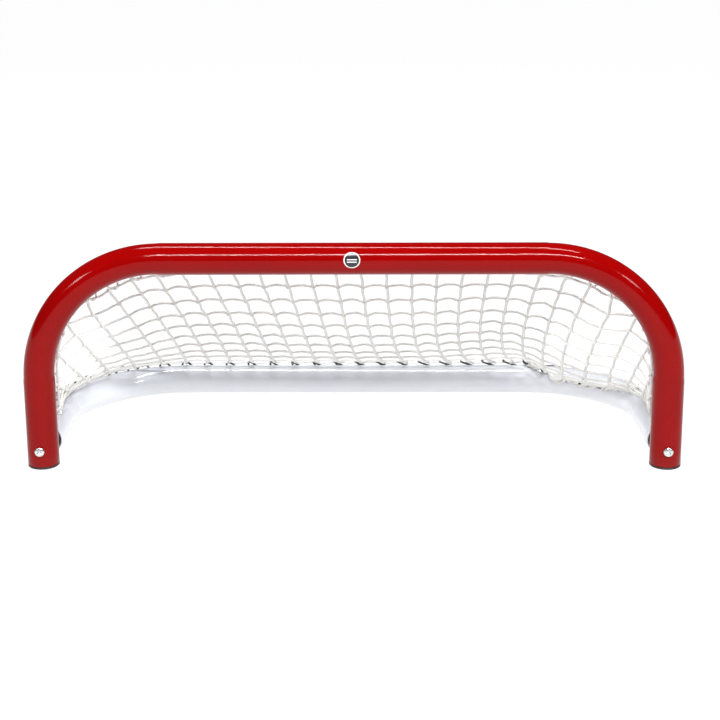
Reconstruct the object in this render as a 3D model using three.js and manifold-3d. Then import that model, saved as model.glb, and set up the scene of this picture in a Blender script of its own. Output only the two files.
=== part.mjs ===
// A low hockey goal: a bent steel tube arch, a bent steel base tube on the ground behind it,
// and a netting roof laced to a thin rail welded behind each tube. Millimetres, +Z up, goal mouth at -Y.
import * as THREE from 'three';
import { mergeVertices } from 'three/addons/utils/BufferGeometryUtils.js';
import Module from 'manifold-3d';

const wasm = await Module();
wasm.setup();

// Driving dimensions.
const MOUTH_WIDTH = 914.4;
const MOUTH_HEIGHT = 304.8;
const TUBE_RADIUS = 24.15;
const TUBE_WALL = 2;
const BEND_RADIUS = 188;
const DEPTH = 342; // arch axis to the axis of the base's rear run
const ARM_TOE_IN = THREE.MathUtils.degToRad(1.35);
const JOINT_GAP = 0.3; // between pieces that touch

const CAP_RIM = 3.4;
const CAP_STEM = 14;
const PLUG_SEAT = 0.8; // post to plug at the bolt; the leaning face nearly touches lower down
const PLUG_FLANGE = 2.5;
const PLUG_FLANGE_RADIUS = 21.6;
const PLUG_BODY = 24;
const BOLT_HEIGHT = 30;
const BOLT_RADIUS = 3.97;
const BOLT_LENGTH = 76.2;
const HEAD_RADIUS = 7.4;
const HEAD_HEIGHT = 4.6;
const NUT_ACROSS_FLATS = 12.7;
const NUT_THICKNESS = 6.9;

const RAIL_RADIUS = 2.5;
const RAIL_CLEARANCE = 8; // tube surface to rail axis
const STANDOFF_RADIUS = 2.2;
const RAIL_END = 70; // height on a post, and distance back on an arm, where a rail starts
const ARCH_RAIL_ANGLE = THREE.MathUtils.degToRad(25); // off straight behind, towards the mouth
const BASE_RAIL_ANGLE = THREE.MathUtils.degToRad(20); // above the outside
const BASE_HEM_ANGLE = THREE.MathUtils.degToRad(42);
const BASE_HEM_CLEARANCE = 6.5; // tube surface to border cord axis
const ARCH_LACE_LENGTH = 17; // rail axis to border cord axis
const ARCH_LACE_SLOPE = THREE.MathUtils.degToRad(66);

const CORD_RADIUS = 1.5;
const LACE_HEM_RADIUS = 4.4; // of a loop's two ends, to the lace's axis
const LACE_RAIL_RADIUS = 5.6;
const LACE_PITCH = 40; // one turn to each mesh of the netting
const LACE_TURNS_TO_A_STANDOFF = 3;
const NET_THICKNESS = 3;
const NET_SETBACK = 9; // border cord axis to the edge of the netting solid
const NET_SAG = 0.072; // of the distance between its edges

const TUBE_SIDES = 24;
const BORE_SIDES = 16;
const ROD_SIDES = 6;
const CORD_SIDES = 5;
const BEND_STEPS = 10;

// Derived places.
const POST_X = MOUTH_WIDTH / 2 + TUBE_RADIUS;
const BAR_Z = MOUTH_HEIGHT + TUBE_RADIUS;
const ARM_START = TUBE_RADIUS + PLUG_SEAT + PLUG_FLANGE + JOINT_GAP;
const RAIL_OFFSET = TUBE_RADIUS + RAIL_CLEARANCE;

const material = (color, roughness, metalness) =>
  new THREE.MeshStandardMaterial({ color, roughness, metalness });
const redPaint = material(0xb3110d, 0.22, 0.1);
const whitePaint = material(0xe9ebf1, 0.2, 0.1);
const whiteCord = material(0xf1eee7, 0.85, 0);
const blackPlastic = material(0x111112, 0.55, 0);
const zincPlate = material(0xc4c8cc, 0.3, 1);

/** A curve whose rings are exactly its stations. */
class StationPath extends THREE.Curve {
  constructor(stations) {
    super();
    this.stations = stations;
  }
  getUtoTmapping(u) {
    return u;
  }
  getPoint(t, target = new THREE.Vector3()) {
    const last = this.stations.length - 1;
    const place = THREE.MathUtils.clamp(t, 0, 1) * last;
    const low = Math.min(Math.floor(place), last - 1);
    return target.lerpVectors(this.stations[low], this.stations[low + 1], place - low);
  }
}

/** Evenly spaced values from low to high, both included. */
const spread = (low, high, steps) =>
  Array.from({ length: steps + 1 }, (_, i) => low + ((high - low) * i) / steps);

/** A left half and its mirror image, with the steps of the straight run between them. */
function mirrored(half, spanSteps) {
  const other = half.map((p) => new THREE.Vector3(-p.x, p.y, p.z)).reverse();
  const run = spread(0, 1, spanSteps).slice(1, -1);
  const middle = run.map((t) => half.at(-1).clone().lerp(other[0], t));
  return [...half, ...middle, ...other];
}

/** Stations of the arch, moved inset towards the mouth and back behind the tube's axis. */
function archStations(options) {
  const { inset = 0, back = 0, bottom = CAP_RIM + JOINT_GAP, leg = 1, bend = BEND_STEPS, span = 1 } = options;
  const centre = { x: -POST_X + BEND_RADIUS, z: BAR_Z - BEND_RADIUS };
  const radius = BEND_RADIUS - inset;
  const legs = spread(bottom, centre.z, leg).slice(0, -1);
  const half = legs.map((z) => new THREE.Vector3(-POST_X + inset, back, z));
  for (const angle of spread(0, Math.PI / 2, bend)) {
    const x = centre.x - radius * Math.cos(angle);
    half.push(new THREE.Vector3(x, back, centre.z + radius * Math.sin(angle)));
  }
  return mirrored(half, span);
}

/** Height of the base tube's axis: bolted to the posts in front, lying on the ground at the rear. */
const baseHeight = (y) => THREE.MathUtils.mapLinear(y, ARM_START, DEPTH, BOLT_HEIGHT, TUBE_RADIUS);

/** Stations of the base, moved outset away from the middle and lifted above the tube's axis. */
function baseStations(options) {
  const { outset = 0, lift = 0, front = ARM_START, leg = 1, bend = BEND_STEPS, span = 1 } = options;
  const bendY = DEPTH - BEND_RADIUS + BEND_RADIUS * Math.sin(ARM_TOE_IN);
  const armX = (y) => -POST_X + (y - ARM_START) * Math.tan(ARM_TOE_IN);
  const centre = { x: armX(bendY) + BEND_RADIUS * Math.cos(ARM_TOE_IN), y: DEPTH - BEND_RADIUS };
  const out = { x: -outset * Math.cos(ARM_TOE_IN), y: outset * Math.sin(ARM_TOE_IN) };
  const legs = spread(front, bendY, leg).slice(0, -1);
  const half = legs.map((y) => new THREE.Vector3(armX(y) + out.x, y + out.y, baseHeight(y) + lift));
  for (const angle of spread(ARM_TOE_IN, Math.PI / 2, bend)) {
    const radius = BEND_RADIUS + outset;
    const axisY = centre.y + BEND_RADIUS * Math.sin(angle);
    const x = centre.x - radius * Math.cos(angle);
    half.push(new THREE.Vector3(x, centre.y + radius * Math.sin(angle), baseHeight(axisY) + lift));
  }
  return mirrored(half, span);
}

/** A regular polygon whose corners lie on a circle. */
function polygon(Kind, radius, sides, turn = 0) {
  const angles = spread(turn, turn + 2 * Math.PI, sides).slice(0, -1);
  return new Kind(angles.map((a) => new THREE.Vector2(radius * Math.cos(a), radius * Math.sin(a))));
}

/** A round section, solid or with a bore, swept along stations. */
function sweep(stations, radius, sides, bore = 0) {
  const section = polygon(THREE.Shape, radius, sides);
  if (bore > 0) section.holes.push(polygon(THREE.Path, bore, BORE_SIDES));
  const extrudePath = new StationPath(stations);
  return new THREE.ExtrudeGeometry(section, { steps: stations.length - 1, extrudePath, bevelEnabled: false });
}

/** A cylinder from one point along a direction. */
function rod(from, direction, length, radius, sides) {
  const geometry = new THREE.CylinderGeometry(radius, radius, length, sides);
  geometry.translate(0, length / 2, 0);
  const turn = new THREE.Quaternion().setFromUnitVectors(new THREE.Vector3(0, 1, 0), direction);
  geometry.applyQuaternion(turn);
  return geometry.translate(from.x, from.y, from.z);
}

/** A closed three.js geometry as a manifold solid. */
function toSolid(geometry) {
  const bare = geometry.clone();
  bare.deleteAttribute('normal');
  bare.deleteAttribute('uv');
  const merged = mergeVertices(bare, 1e-4);
  const vertProperties = new Float32Array(merged.attributes.position.array);
  const triVerts = new Uint32Array(merged.index.array);
  return new wasm.Manifold(new wasm.Mesh({ numProp: 3, vertProperties, triVerts }));
}

/** A manifold solid as a three.js geometry. */
function toGeometry(solid) {
  const mesh = solid.getMesh();
  const geometry = new THREE.BufferGeometry();
  geometry.setAttribute('position', new THREE.BufferAttribute(mesh.vertProperties, 3));
  geometry.setIndex(new THREE.BufferAttribute(mesh.triVerts, 1));
  return geometry;
}

/** A geometry with others cut out of it. */
function cut(geometry, ...tools) {
  return toGeometry(tools.reduce((solid, tool) => solid.subtract(toSolid(tool)), toSolid(geometry)));
}

const goal = new THREE.Group();

/** Adds a named mesh to a group. */
function add(group, name, geometry, finish) {
  const mesh = new THREE.Mesh(geometry, finish);
  mesh.name = name;
  group.add(mesh);
}

const backwards = new THREE.Vector3(0, 1, 0);
const sides = [
  { name: 'left', sign: -1 },
  { name: 'right', sign: 1 },
];

/** The red arch, drilled front to back through each post for its bolt. */
function frontFrame() {
  const tube = sweep(archStations({}), TUBE_RADIUS, TUBE_SIDES, TUBE_RADIUS - TUBE_WALL);
  const drill = ({ sign }) => {
    const from = new THREE.Vector3(sign * POST_X, -2 * TUBE_RADIUS, BOLT_HEIGHT);
    return rod(from, backwards, 4 * TUBE_RADIUS, BOLT_RADIUS + JOINT_GAP, 12);
  };
  return cut(tube, ...sides.map(drill));
}

/** The white base tube. */
const baseFrame = () => sweep(baseStations({}), TUBE_RADIUS, TUBE_SIDES, TUBE_RADIUS - TUBE_WALL);

/** A foot cap: a rim the post stands on, and a barbed hollow stem inside the post. */
function footCap(sign) {
  const stem = TUBE_RADIUS - TUBE_WALL - 2;
  const barb = stem + 1.2;
  const profile = [
    [0, 0],
    [TUBE_RADIUS - 0.8, 0],
    [TUBE_RADIUS, 0.8],
    [TUBE_RADIUS, CAP_RIM],
    [stem, CAP_RIM],
    [stem, CAP_RIM + 3],
    [barb, CAP_RIM + 4],
    [stem, CAP_RIM + 8],
    [barb, CAP_RIM + 9],
    [stem, CAP_RIM + CAP_STEM],
    [stem - 3, CAP_RIM + CAP_STEM],
    [stem - 3, CAP_RIM],
    [0, CAP_RIM],
  ];
  const points = profile.map(([x, y]) => new THREE.Vector2(x, y));
  const geometry = new THREE.LatheGeometry(points, TUBE_SIDES);
  return geometry.rotateX(Math.PI / 2).translate(sign * POST_X, 0, 0);
}

/** Direction of a base arm at its front end. */
function armDirection(sign) {
  const slope = baseHeight(1) - baseHeight(0);
  return new THREE.Vector3(-sign * Math.tan(ARM_TOE_IN), 1, slope).normalize();
}

/** A regular hexagon bar along +Y, its flats across the given distance. */
function hexBar(acrossFlats, length, hole = 0) {
  const section = polygon(THREE.Shape, acrossFlats / Math.sqrt(3), 6, Math.PI / 6);
  if (hole > 0) section.holes.push(polygon(THREE.Path, hole, 12));
  const bar = new THREE.ExtrudeGeometry(section, { depth: length, bevelEnabled: false });
  return bar.rotateX(-Math.PI / 2);
}

/** The black end plug of a base arm, bored for the bolt, with a pocket for the nut. */
function basePlug(sign) {
  const along = armDirection(sign);
  const from = new THREE.Vector3(sign * POST_X, TUBE_RADIUS + PLUG_SEAT, BOLT_HEIGHT);
  const flange = rod(from, along, PLUG_FLANGE, PLUG_FLANGE_RADIUS, TUBE_SIDES);
  const bodyFrom = from.clone().addScaledVector(along, PLUG_FLANGE / 2);
  const bodyRadius = TUBE_RADIUS - TUBE_WALL - 0.8;
  const body = rod(bodyFrom, along, PLUG_FLANGE / 2 + PLUG_BODY, bodyRadius, BORE_SIDES);
  const whole = toGeometry(toSolid(flange).add(toSolid(body)));
  const bore = rod(from.clone().setY(0), backwards, 4 * PLUG_BODY, BOLT_RADIUS + JOINT_GAP, 12);
  const pocket = hexBar(NUT_ACROSS_FLATS + 2 * JOINT_GAP, NUT_THICKNESS + PLUG_BODY);
  pocket.translate(from.x, nutFront() - JOINT_GAP, BOLT_HEIGHT);
  return cut(whole, bore, pocket);
}

/** Where a nut's front face lies, so that its back is level with the plug's. */
const nutFront = () => TUBE_RADIUS + PLUG_SEAT + PLUG_FLANGE + PLUG_BODY - NUT_THICKNESS - 1;

/** The nut held in a base plug. */
function plugNut(sign) {
  const nut = hexBar(NUT_ACROSS_FLATS, NUT_THICKNESS, BOLT_RADIUS + JOINT_GAP);
  return nut.translate(sign * POST_X, nutFront(), BOLT_HEIGHT);
}

/** A pan head bolt with a cross recess, its head against the front of the post. */
function frameBolt(sign) {
  const profile = [
    [0, -BOLT_LENGTH],
    [BOLT_RADIUS - 1, -BOLT_LENGTH],
    [BOLT_RADIUS, 1 - BOLT_LENGTH],
    [BOLT_RADIUS, 0],
    [HEAD_RADIUS, 0],
    [HEAD_RADIUS, HEAD_HEIGHT * 0.45],
    [HEAD_RADIUS * 0.9, HEAD_HEIGHT * 0.78],
    [HEAD_RADIUS * 0.62, HEAD_HEIGHT * 0.97],
    [0, HEAD_HEIGHT],
  ];
  const points = profile.map(([x, y]) => new THREE.Vector2(x, y));
  const bolt = new THREE.LatheGeometry(points, 12);
  const slot = () => new THREE.BoxGeometry(HEAD_RADIUS * 1.1, 5, 1.5).translate(0, HEAD_HEIGHT, 0);
  const recessed = cut(bolt, slot(), slot().rotateY(Math.PI / 2));
  return recessed.rotateX(Math.PI).translate(sign * POST_X, -TUBE_RADIUS - JOINT_GAP, BOLT_HEIGHT);
}

/** Offsets that place a cord or rail beside the arch or the base, at a station count of one's choice. */
const archRail = (options = {}) => {
  const inset = RAIL_OFFSET * Math.sin(ARCH_RAIL_ANGLE);
  return archStations({ inset, back: RAIL_OFFSET * Math.cos(ARCH_RAIL_ANGLE), bottom: RAIL_END, ...options });
};
const archHem = (options = {}) => {
  const inset = RAIL_OFFSET * Math.sin(ARCH_RAIL_ANGLE) + ARCH_LACE_LENGTH * Math.sin(ARCH_LACE_SLOPE);
  const back = RAIL_OFFSET * Math.cos(ARCH_RAIL_ANGLE) + ARCH_LACE_LENGTH * Math.cos(ARCH_LACE_SLOPE);
  return archStations({ inset, back, bottom: RAIL_END, ...options });
};
const beside = (distance, angle) => ({
  outset: distance * Math.cos(angle),
  lift: distance * Math.sin(angle),
});
const baseRail = (options = {}) =>
  baseStations({ ...beside(RAIL_OFFSET, BASE_RAIL_ANGLE), front: RAIL_END, ...options });
const baseHem = (options = {}) => {
  const place = beside(TUBE_RADIUS + BASE_HEM_CLEARANCE, BASE_HEM_ANGLE);
  return baseStations({ ...place, front: RAIL_END, ...options });
};

/** Points on a polyline at equal distances, as fractions of its length. */
function alongPath(stations) {
  const reach = [0];
  for (let i = 1; i < stations.length; i += 1) {
    reach.push(reach[i - 1] + stations[i].distanceTo(stations[i - 1]));
  }
  const length = reach.at(-1);
  const at = (fraction, points) => {
    const distance = THREE.MathUtils.clamp(fraction, 0, 1) * length;
    const low = Math.max(0, reach.findLastIndex((r, i) => r <= distance && i < stations.length - 1));
    const share = (distance - reach[low]) / (reach[low + 1] - reach[low]);
    return points[low].clone().lerp(points[low + 1], share);
  };
  return { length, at };
}

/** A spiral lace round a rail and the border cord beside it, one turn to a mesh. */
function lace(railPoints, hemPoints, turns) {
  const path = alongPath(railPoints);
  const hemEnd = [75, 0, -75].map((degrees) => ({ end: 'hem', degrees, radius: LACE_HEM_RADIUS }));
  const railEnd = [260, 180, 100].map((degrees) => ({ end: 'rail', degrees, radius: LACE_RAIL_RADIUS }));
  const loop = [...hemEnd, ...railEnd];
  const stations = [];
  for (let i = 0; i < turns * loop.length; i += 1) {
    const { end, degrees, radius } = loop[i % loop.length];
    const fraction = (i + 0.5) / (turns * loop.length);
    const rail = path.at(fraction, railPoints);
    const hem = path.at(fraction, hemPoints);
    const next = path.at(fraction + 1e-3, railPoints);
    const tangent = next.sub(path.at(fraction - 1e-3, railPoints)).normalize();
    const reach = hem.clone().sub(rail);
    const towardsHem = reach.clone().addScaledVector(tangent, -reach.dot(tangent)).normalize();
    const across = tangent.clone().cross(towardsHem);
    const angle = THREE.MathUtils.degToRad(degrees);
    const centre = end === 'rail' ? rail : hem;
    centre.addScaledVector(towardsHem, radius * Math.cos(angle));
    stations.push(centre.addScaledVector(across, radius * Math.sin(angle)));
  }
  return sweep(stations, CORD_RADIUS, CORD_SIDES);
}

/** Short standoffs that carry a rail on its tube, between turns of the lace. */
function addStandoffs(name, railPoints, axisPoints, turns, paint) {
  const path = alongPath(railPoints);
  const count = Math.floor((turns - 1) / LACE_TURNS_TO_A_STANDOFF) + 1;
  const spare = turns - 1 - (count - 1) * LACE_TURNS_TO_A_STANDOFF;
  for (let i = 0; i < count; i += 1) {
    const turn = Math.round(spare / 2) + i * LACE_TURNS_TO_A_STANDOFF;
    const fraction = (turn + 0.25) / turns;
    const rail = path.at(fraction, railPoints);
    const axis = path.at(fraction, axisPoints);
    const along = rail.clone().sub(axis).normalize();
    const from = axis.addScaledVector(along, TUBE_RADIUS + JOINT_GAP);
    const length = from.distanceTo(rail) - RAIL_RADIUS - JOINT_GAP;
    add(goal, `${name}_standoff_${i + 1}`, rod(from, along, length, STANDOFF_RADIUS, ROD_SIDES), paint);
  }
}

/** Moves a point away from a tube's axis until it is clear of the tube. */
function clearOfTube(point, axis, clearance) {
  for (let i = 1; i < axis.length; i += 1) {
    const span = new THREE.Line3(axis[i - 1], axis[i]);
    const nearest = span.closestPointToPoint(point, true, new THREE.Vector3());
    const away = point.clone().sub(nearest);
    const least = TUBE_RADIUS + clearance;
    if (away.length() < least) point.copy(nearest.add(away.setLength(least)));
  }
  return point;
}

/** Share of a reach that lies within the netting's setback from a border cord. */
function setbackShare(hem, i, reach) {
  const tangent = hem[Math.min(i + 1, hem.length - 1)].clone().sub(hem[Math.max(i - 1, 0)]);
  return NET_SETBACK / reach.length() / Math.sin(tangent.angleTo(reach));
}

/** The netting as one thin sagging sheet between the two border cords. */
function netting() {
  const tube = baseStations({ bend: 2 * BEND_STEPS });
  const steps = { leg: 2, bend: 7, span: 8 };
  const arch = archHem(steps);
  const base = baseHem(steps);
  const down = 8;
  const rows = arch.map((top, i) => {
    const reach = base[i].clone().sub(top);
    const sag = 4 * NET_SAG * reach.length();
    return spread(setbackShare(arch, i, reach), 1 - setbackShare(base, i, reach), down).map((t) => {
      const point = top.clone().addScaledVector(reach, t);
      point.z -= sag * t * (1 - t);
      return clearOfTube(point, tube, NET_THICKNESS);
    });
  });
  const wide = rows.length;
  const tall = down + 1;
  const positions = [];
  const at = (i, j) => rows[THREE.MathUtils.clamp(i, 0, wide - 1)][THREE.MathUtils.clamp(j, 0, tall - 1)];
  for (const side of [-0.5, 0.5]) {
    for (let i = 0; i < wide; i += 1) {
      for (let j = 0; j < tall; j += 1) {
        const across = at(i + 1, j).clone().sub(at(i - 1, j));
        const along = at(i, j + 1).clone().sub(at(i, j - 1));
        const normal = across.cross(along).normalize();
        positions.push(...at(i, j).clone().addScaledVector(normal, side * NET_THICKNESS).toArray());
      }
    }
  }
  const index = [];
  const layer = wide * tall;
  const quad = (a, b, c, d) => index.push(a, b, c, a, c, d);
  for (let i = 0; i + 1 < wide; i += 1) {
    for (let j = 0; j + 1 < tall; j += 1) {
      const a = i * tall + j;
      quad(a, a + 1, a + tall + 1, a + tall);
      quad(layer + a, layer + a + tall, layer + a + tall + 1, layer + a + 1);
    }
  }
  const rim = [];
  for (let i = 0; i + 1 < wide; i += 1) rim.push(i * tall);
  for (let j = 0; j + 1 < tall; j += 1) rim.push((wide - 1) * tall + j);
  for (let i = wide - 1; i > 0; i -= 1) rim.push(i * tall + down);
  for (let j = down; j > 0; j -= 1) rim.push(j);
  rim.forEach((a, k) => {
    const b = rim[(k + 1) % rim.length];
    quad(a, b, layer + b, layer + a);
  });
  const geometry = new THREE.BufferGeometry();
  geometry.setAttribute('position', new THREE.Float32BufferAttribute(positions, 3));
  geometry.setIndex(index);
  return geometry;
}

add(goal, 'front_frame', frontFrame(), redPaint);
add(goal, 'base_frame', baseFrame(), whitePaint);
for (const { name, sign } of sides) {
  add(goal, `${name}_foot_cap`, footCap(sign), blackPlastic);
  add(goal, `${name}_base_plug`, basePlug(sign), blackPlastic);
  add(goal, `${name}_plug_nut`, plugNut(sign), zincPlate);
  add(goal, `${name}_frame_bolt`, frameBolt(sign), zincPlate);
}

const archAxis = archStations({ bottom: RAIL_END });
const baseAxis = baseStations({ front: RAIL_END });
const corded = [
  { name: 'front', railPoints: archRail(), hemPoints: archHem(), axisPoints: archAxis, paint: redPaint },
  { name: 'base', railPoints: baseRail(), hemPoints: baseHem(), axisPoints: baseAxis, paint: whitePaint },
];
for (const { name, railPoints, hemPoints, axisPoints, paint } of corded) {
  const turns = Math.round(alongPath(railPoints).length / LACE_PITCH);
  add(goal, `${name}_lacing_rail`, sweep(railPoints, RAIL_RADIUS, ROD_SIDES), paint);
  add(goal, `${name}_border_cord`, sweep(hemPoints, CORD_RADIUS, CORD_SIDES), whiteCord);
  add(goal, `${name}_lace`, lace(railPoints, hemPoints, turns), whiteCord);
  addStandoffs(name, railPoints, axisPoints, turns, paint);
}
add(goal, 'netting', netting(), whiteCord);

// The origin is the middle of the goal's footprint, on the ground.
const extent = new THREE.Box3().setFromObject(goal);
goal.position.set(-(extent.min.x + extent.max.x) / 2, -(extent.min.y + extent.max.y) / 2, -extent.min.z);

export default goal;
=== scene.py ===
"""A low practice hockey goal: a red arch and a white base tube, bolted together, with a laced cord net."""

import logging
import math
from dataclasses import dataclass, field
from enum import Enum
from typing import Any, Callable

import bmesh
import bpy
import numpy as np
from mathutils import Matrix, Vector


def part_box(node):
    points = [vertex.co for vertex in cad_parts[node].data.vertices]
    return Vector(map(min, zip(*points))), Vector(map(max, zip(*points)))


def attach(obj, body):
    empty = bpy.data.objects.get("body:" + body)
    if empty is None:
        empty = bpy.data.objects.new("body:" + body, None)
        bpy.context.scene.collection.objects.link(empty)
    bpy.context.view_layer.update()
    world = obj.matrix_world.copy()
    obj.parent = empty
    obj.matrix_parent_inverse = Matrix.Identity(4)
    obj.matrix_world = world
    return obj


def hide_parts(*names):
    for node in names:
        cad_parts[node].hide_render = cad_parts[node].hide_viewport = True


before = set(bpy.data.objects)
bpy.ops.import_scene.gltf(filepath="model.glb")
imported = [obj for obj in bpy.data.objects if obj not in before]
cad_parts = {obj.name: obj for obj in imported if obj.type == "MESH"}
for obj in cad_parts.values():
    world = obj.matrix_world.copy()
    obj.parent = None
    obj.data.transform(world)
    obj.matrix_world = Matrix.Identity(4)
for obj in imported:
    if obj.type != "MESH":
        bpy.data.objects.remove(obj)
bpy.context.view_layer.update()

log = logging.getLogger("hockey_goal")
BODY = "root"
MM = 0.001
UP = np.array([0.0, 0.0, 1.0])
BACK = np.array([0.0, 1.0, 0.0])
Colour = tuple[float, float, float]


class Slot(Enum):
    """The record's material slots."""

    RED = "red_paint"
    WHITE = "white_paint"
    CORD = "net_cord"
    PLASTIC = "black_plastic"
    ZINC = "zinc_steel"


class Side(Enum):
    """Left and right, as the sign of X."""

    LEFT = -1
    RIGHT = 1


# ---------------------------------------------------------------- node trees


class Graph:
    """Adds nodes to a shader or geometry tree and links them."""

    def __init__(self, tree: bpy.types.NodeTree) -> None:
        """Args: tree: the tree that the nodes go in."""
        self.tree = tree

    def node(self, kind: str, inputs: dict[Any, Any] | None = None, **settings: Any) -> bpy.types.Node:
        """Adds one node.

        Args:
            kind: Blender's name for the node type.
            inputs: a value or an output socket for each named or numbered input.
            settings: properties set on the node before its inputs.

        Returns:
            The new node.
        """
        made = self.tree.nodes.new(kind)
        for name, value in settings.items():
            setattr(made, name, value)
        for key, value in (inputs or {}).items():
            if isinstance(value, bpy.types.NodeSocket):
                self.tree.links.new(value, made.inputs[key])
            else:
                made.inputs[key].default_value = value
        return made

    def math(self, operation: str, *values: Any) -> bpy.types.NodeSocket:
        """Adds a Math node.

        Args:
            operation: the node's operation.
            values: its operands, as numbers or sockets.

        Returns:
            Its output socket.
        """
        return self.node("ShaderNodeMath", dict(enumerate(values)), operation=operation).outputs[0]

    def spread(self, value: Any, low: float, high: float, to_low: float = 0.0,
               to_high: float = 1.0) -> bpy.types.NodeSocket:
        """Maps a value from one range to another, clamped.

        Args:
            value: the socket to map.
            low: where the range starts.
            high: where it ends.
            to_low: the result at low.
            to_high: the result at high.

        Returns:
            The mapped socket.
        """
        inputs = {"Value": value, "From Min": low, "From Max": high, "To Min": to_low, "To Max": to_high}
        return self.node("ShaderNodeMapRange", inputs).outputs["Result"]

    def blend(self, share: Any, first: Any, second: Any) -> bpy.types.NodeSocket:
        """Mixes two colours.

        Args:
            share: how much of the second colour there is.
            first: the first colour.
            second: the second colour.

        Returns:
            The mixed colour's socket.
        """
        return self.node("ShaderNodeMix", {0: share, 6: first, 7: second}, data_type="RGBA").outputs[2]

    def noise(self, place: Any, scale: Any, detail: float = 2.0, rough: float = 0.5) -> bpy.types.NodeSocket:
        """Adds a noise texture.

        Args:
            place: the coordinates that it reads.
            scale: features in a metre, as a number or a socket.
            detail: octaves.
            rough: how strong the finer octaves are.

        Returns:
            The noise's value, about 0 to 1.
        """
        inputs = {"Vector": place, "Scale": scale, "Detail": detail, "Roughness": rough}
        return self.node("ShaderNodeTexNoise", inputs).outputs[0]

    def feed(self, node: bpy.types.Node, sockets: dict[str, Any]) -> None:
        """Links sockets to a node's inputs.

        Args:
            node: the node that they feed.
            sockets: the socket for each named input.
        """
        for label, socket in sockets.items():
            self.tree.links.new(socket, node.inputs[label])

    def dress(self, shader: bpy.types.Node, colour: Any, rough: Any, height: Any, strength: float,
              distance: float) -> None:
        """Feeds a Principled BSDF what changes over the surface.

        Args:
            shader: the Principled BSDF.
            colour: its base colour's socket.
            rough: its roughness's socket.
            height: the socket that its bumps follow.
            strength: how strong the bumps are.
            distance: how tall the bumps are, in metres.
        """
        bump = self.node("ShaderNodeBump", {"Strength": strength, "Distance": distance, "Height": height})
        self.feed(shader, {"Base Color": colour, "Roughness": rough, "Normal": bump.outputs["Normal"]})


def new_group(name: str, kind: str, sockets: list[tuple[str, str, str]]) -> tuple[Graph, Any, Any]:
    """Starts a node group with named sockets.

    Args:
        name: the group's name.
        kind: ShaderNodeTree or GeometryNodeTree.
        sockets: name, INPUT or OUTPUT, and socket type, in order.

    Returns:
        The graph, its input node and its output node.
    """
    tree = bpy.data.node_groups.new(name, kind)
    for label, way, sort in sockets:
        tree.interface.new_socket(name=label, in_out=way, socket_type=sort)
    graph = Graph(tree)
    return graph, graph.node("NodeGroupInput"), graph.node("NodeGroupOutput")


def paint_group() -> bpy.types.NodeTree:
    """Builds the gloss paint's surface: a faint mottle, orange peel, fine scuffs and dust near the ice.

    Returns:
        A shader group with outputs Colour, Roughness and Height.
    """
    graph, given, result = new_group("gloss_paint_surface", "ShaderNodeTree", [
        ("Paint", "INPUT", "NodeSocketColor"),
        ("Deep Paint", "INPUT", "NodeSocketColor"),
        ("Dust", "INPUT", "NodeSocketColor"),
        ("Smooth", "INPUT", "NodeSocketFloat"),
        ("Scuffed", "INPUT", "NodeSocketFloat"),
        ("Colour", "OUTPUT", "NodeSocketColor"),
        ("Roughness", "OUTPUT", "NodeSocketFloat"),
        ("Height", "OUTPUT", "NodeSocketFloat"),
    ])
    place = graph.node("ShaderNodeTexCoord").outputs["Object"]
    mottle = graph.spread(graph.noise(place, scale=9.0, detail=3.0, rough=0.6), 0.3, 0.7)
    colour = graph.blend(mottle, given.outputs["Paint"], given.outputs["Deep Paint"])
    peel = graph.noise(place, scale=420.0, detail=1.0, rough=0.4)
    grit = graph.noise(place, scale=2600.0)
    stretched = graph.node("ShaderNodeMapping", {"Vector": place, "Scale": (60.0, 900.0, 900.0)}).outputs[0]
    streak = graph.spread(graph.noise(stretched, scale=1.0, detail=3.0, rough=0.7), 0.62, 0.74)
    patch = graph.spread(graph.noise(place, scale=14.0), 0.52, 0.66)
    scuff = graph.math("MULTIPLY", graph.math("MULTIPLY", streak, patch), given.outputs["Scuffed"])
    height = graph.node("ShaderNodeSeparateXYZ", {0: place}).outputs["Z"]
    low = graph.spread(height, 2 * MM, 22 * MM, to_low=1.0, to_high=0.0)
    specks = graph.noise(place, scale=120.0, detail=4.0, rough=0.7)
    dusty = graph.math("MULTIPLY", graph.math("MULTIPLY", low, specks), 0.45)
    colour = graph.blend(dusty, colour, given.outputs["Dust"])
    rough = graph.math("ADD", given.outputs["Smooth"], graph.math("MULTIPLY", scuff, 0.25))
    rough = graph.math("ADD", rough, graph.math("MULTIPLY", dusty, 0.5))
    rough = graph.math("ADD", rough, graph.math("MULTIPLY", mottle, 0.03))
    bumps = graph.math("ADD", peel, graph.math("MULTIPLY", grit, 0.05))
    bumps = graph.math("SUBTRACT", bumps, graph.math("MULTIPLY", scuff, 0.6))
    graph.feed(result, {"Colour": colour, "Roughness": rough, "Height": bumps})
    return graph.tree


def grain_group() -> bpy.types.NodeTree:
    """Builds a fine speckle with an uneven tone, for plastic, zinc and cord.

    Returns:
        A shader group with outputs Tone, from 0 to 1, and Height.
    """
    graph, given, result = new_group("fine_grain", "ShaderNodeTree", [
        ("Coarse", "INPUT", "NodeSocketFloat"),
        ("Fine", "INPUT", "NodeSocketFloat"),
        ("Tone", "OUTPUT", "NodeSocketFloat"),
        ("Height", "OUTPUT", "NodeSocketFloat"),
    ])
    place = graph.node("ShaderNodeTexCoord").outputs["Object"]
    tone = graph.noise(place, given.outputs["Coarse"], detail=3.0, rough=0.6)
    fine = graph.noise(place, given.outputs["Fine"], detail=2.0, rough=0.6)
    graph.feed(result, {"Tone": graph.spread(tone, 0.3, 0.7), "Height": fine})
    return graph.tree


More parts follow.
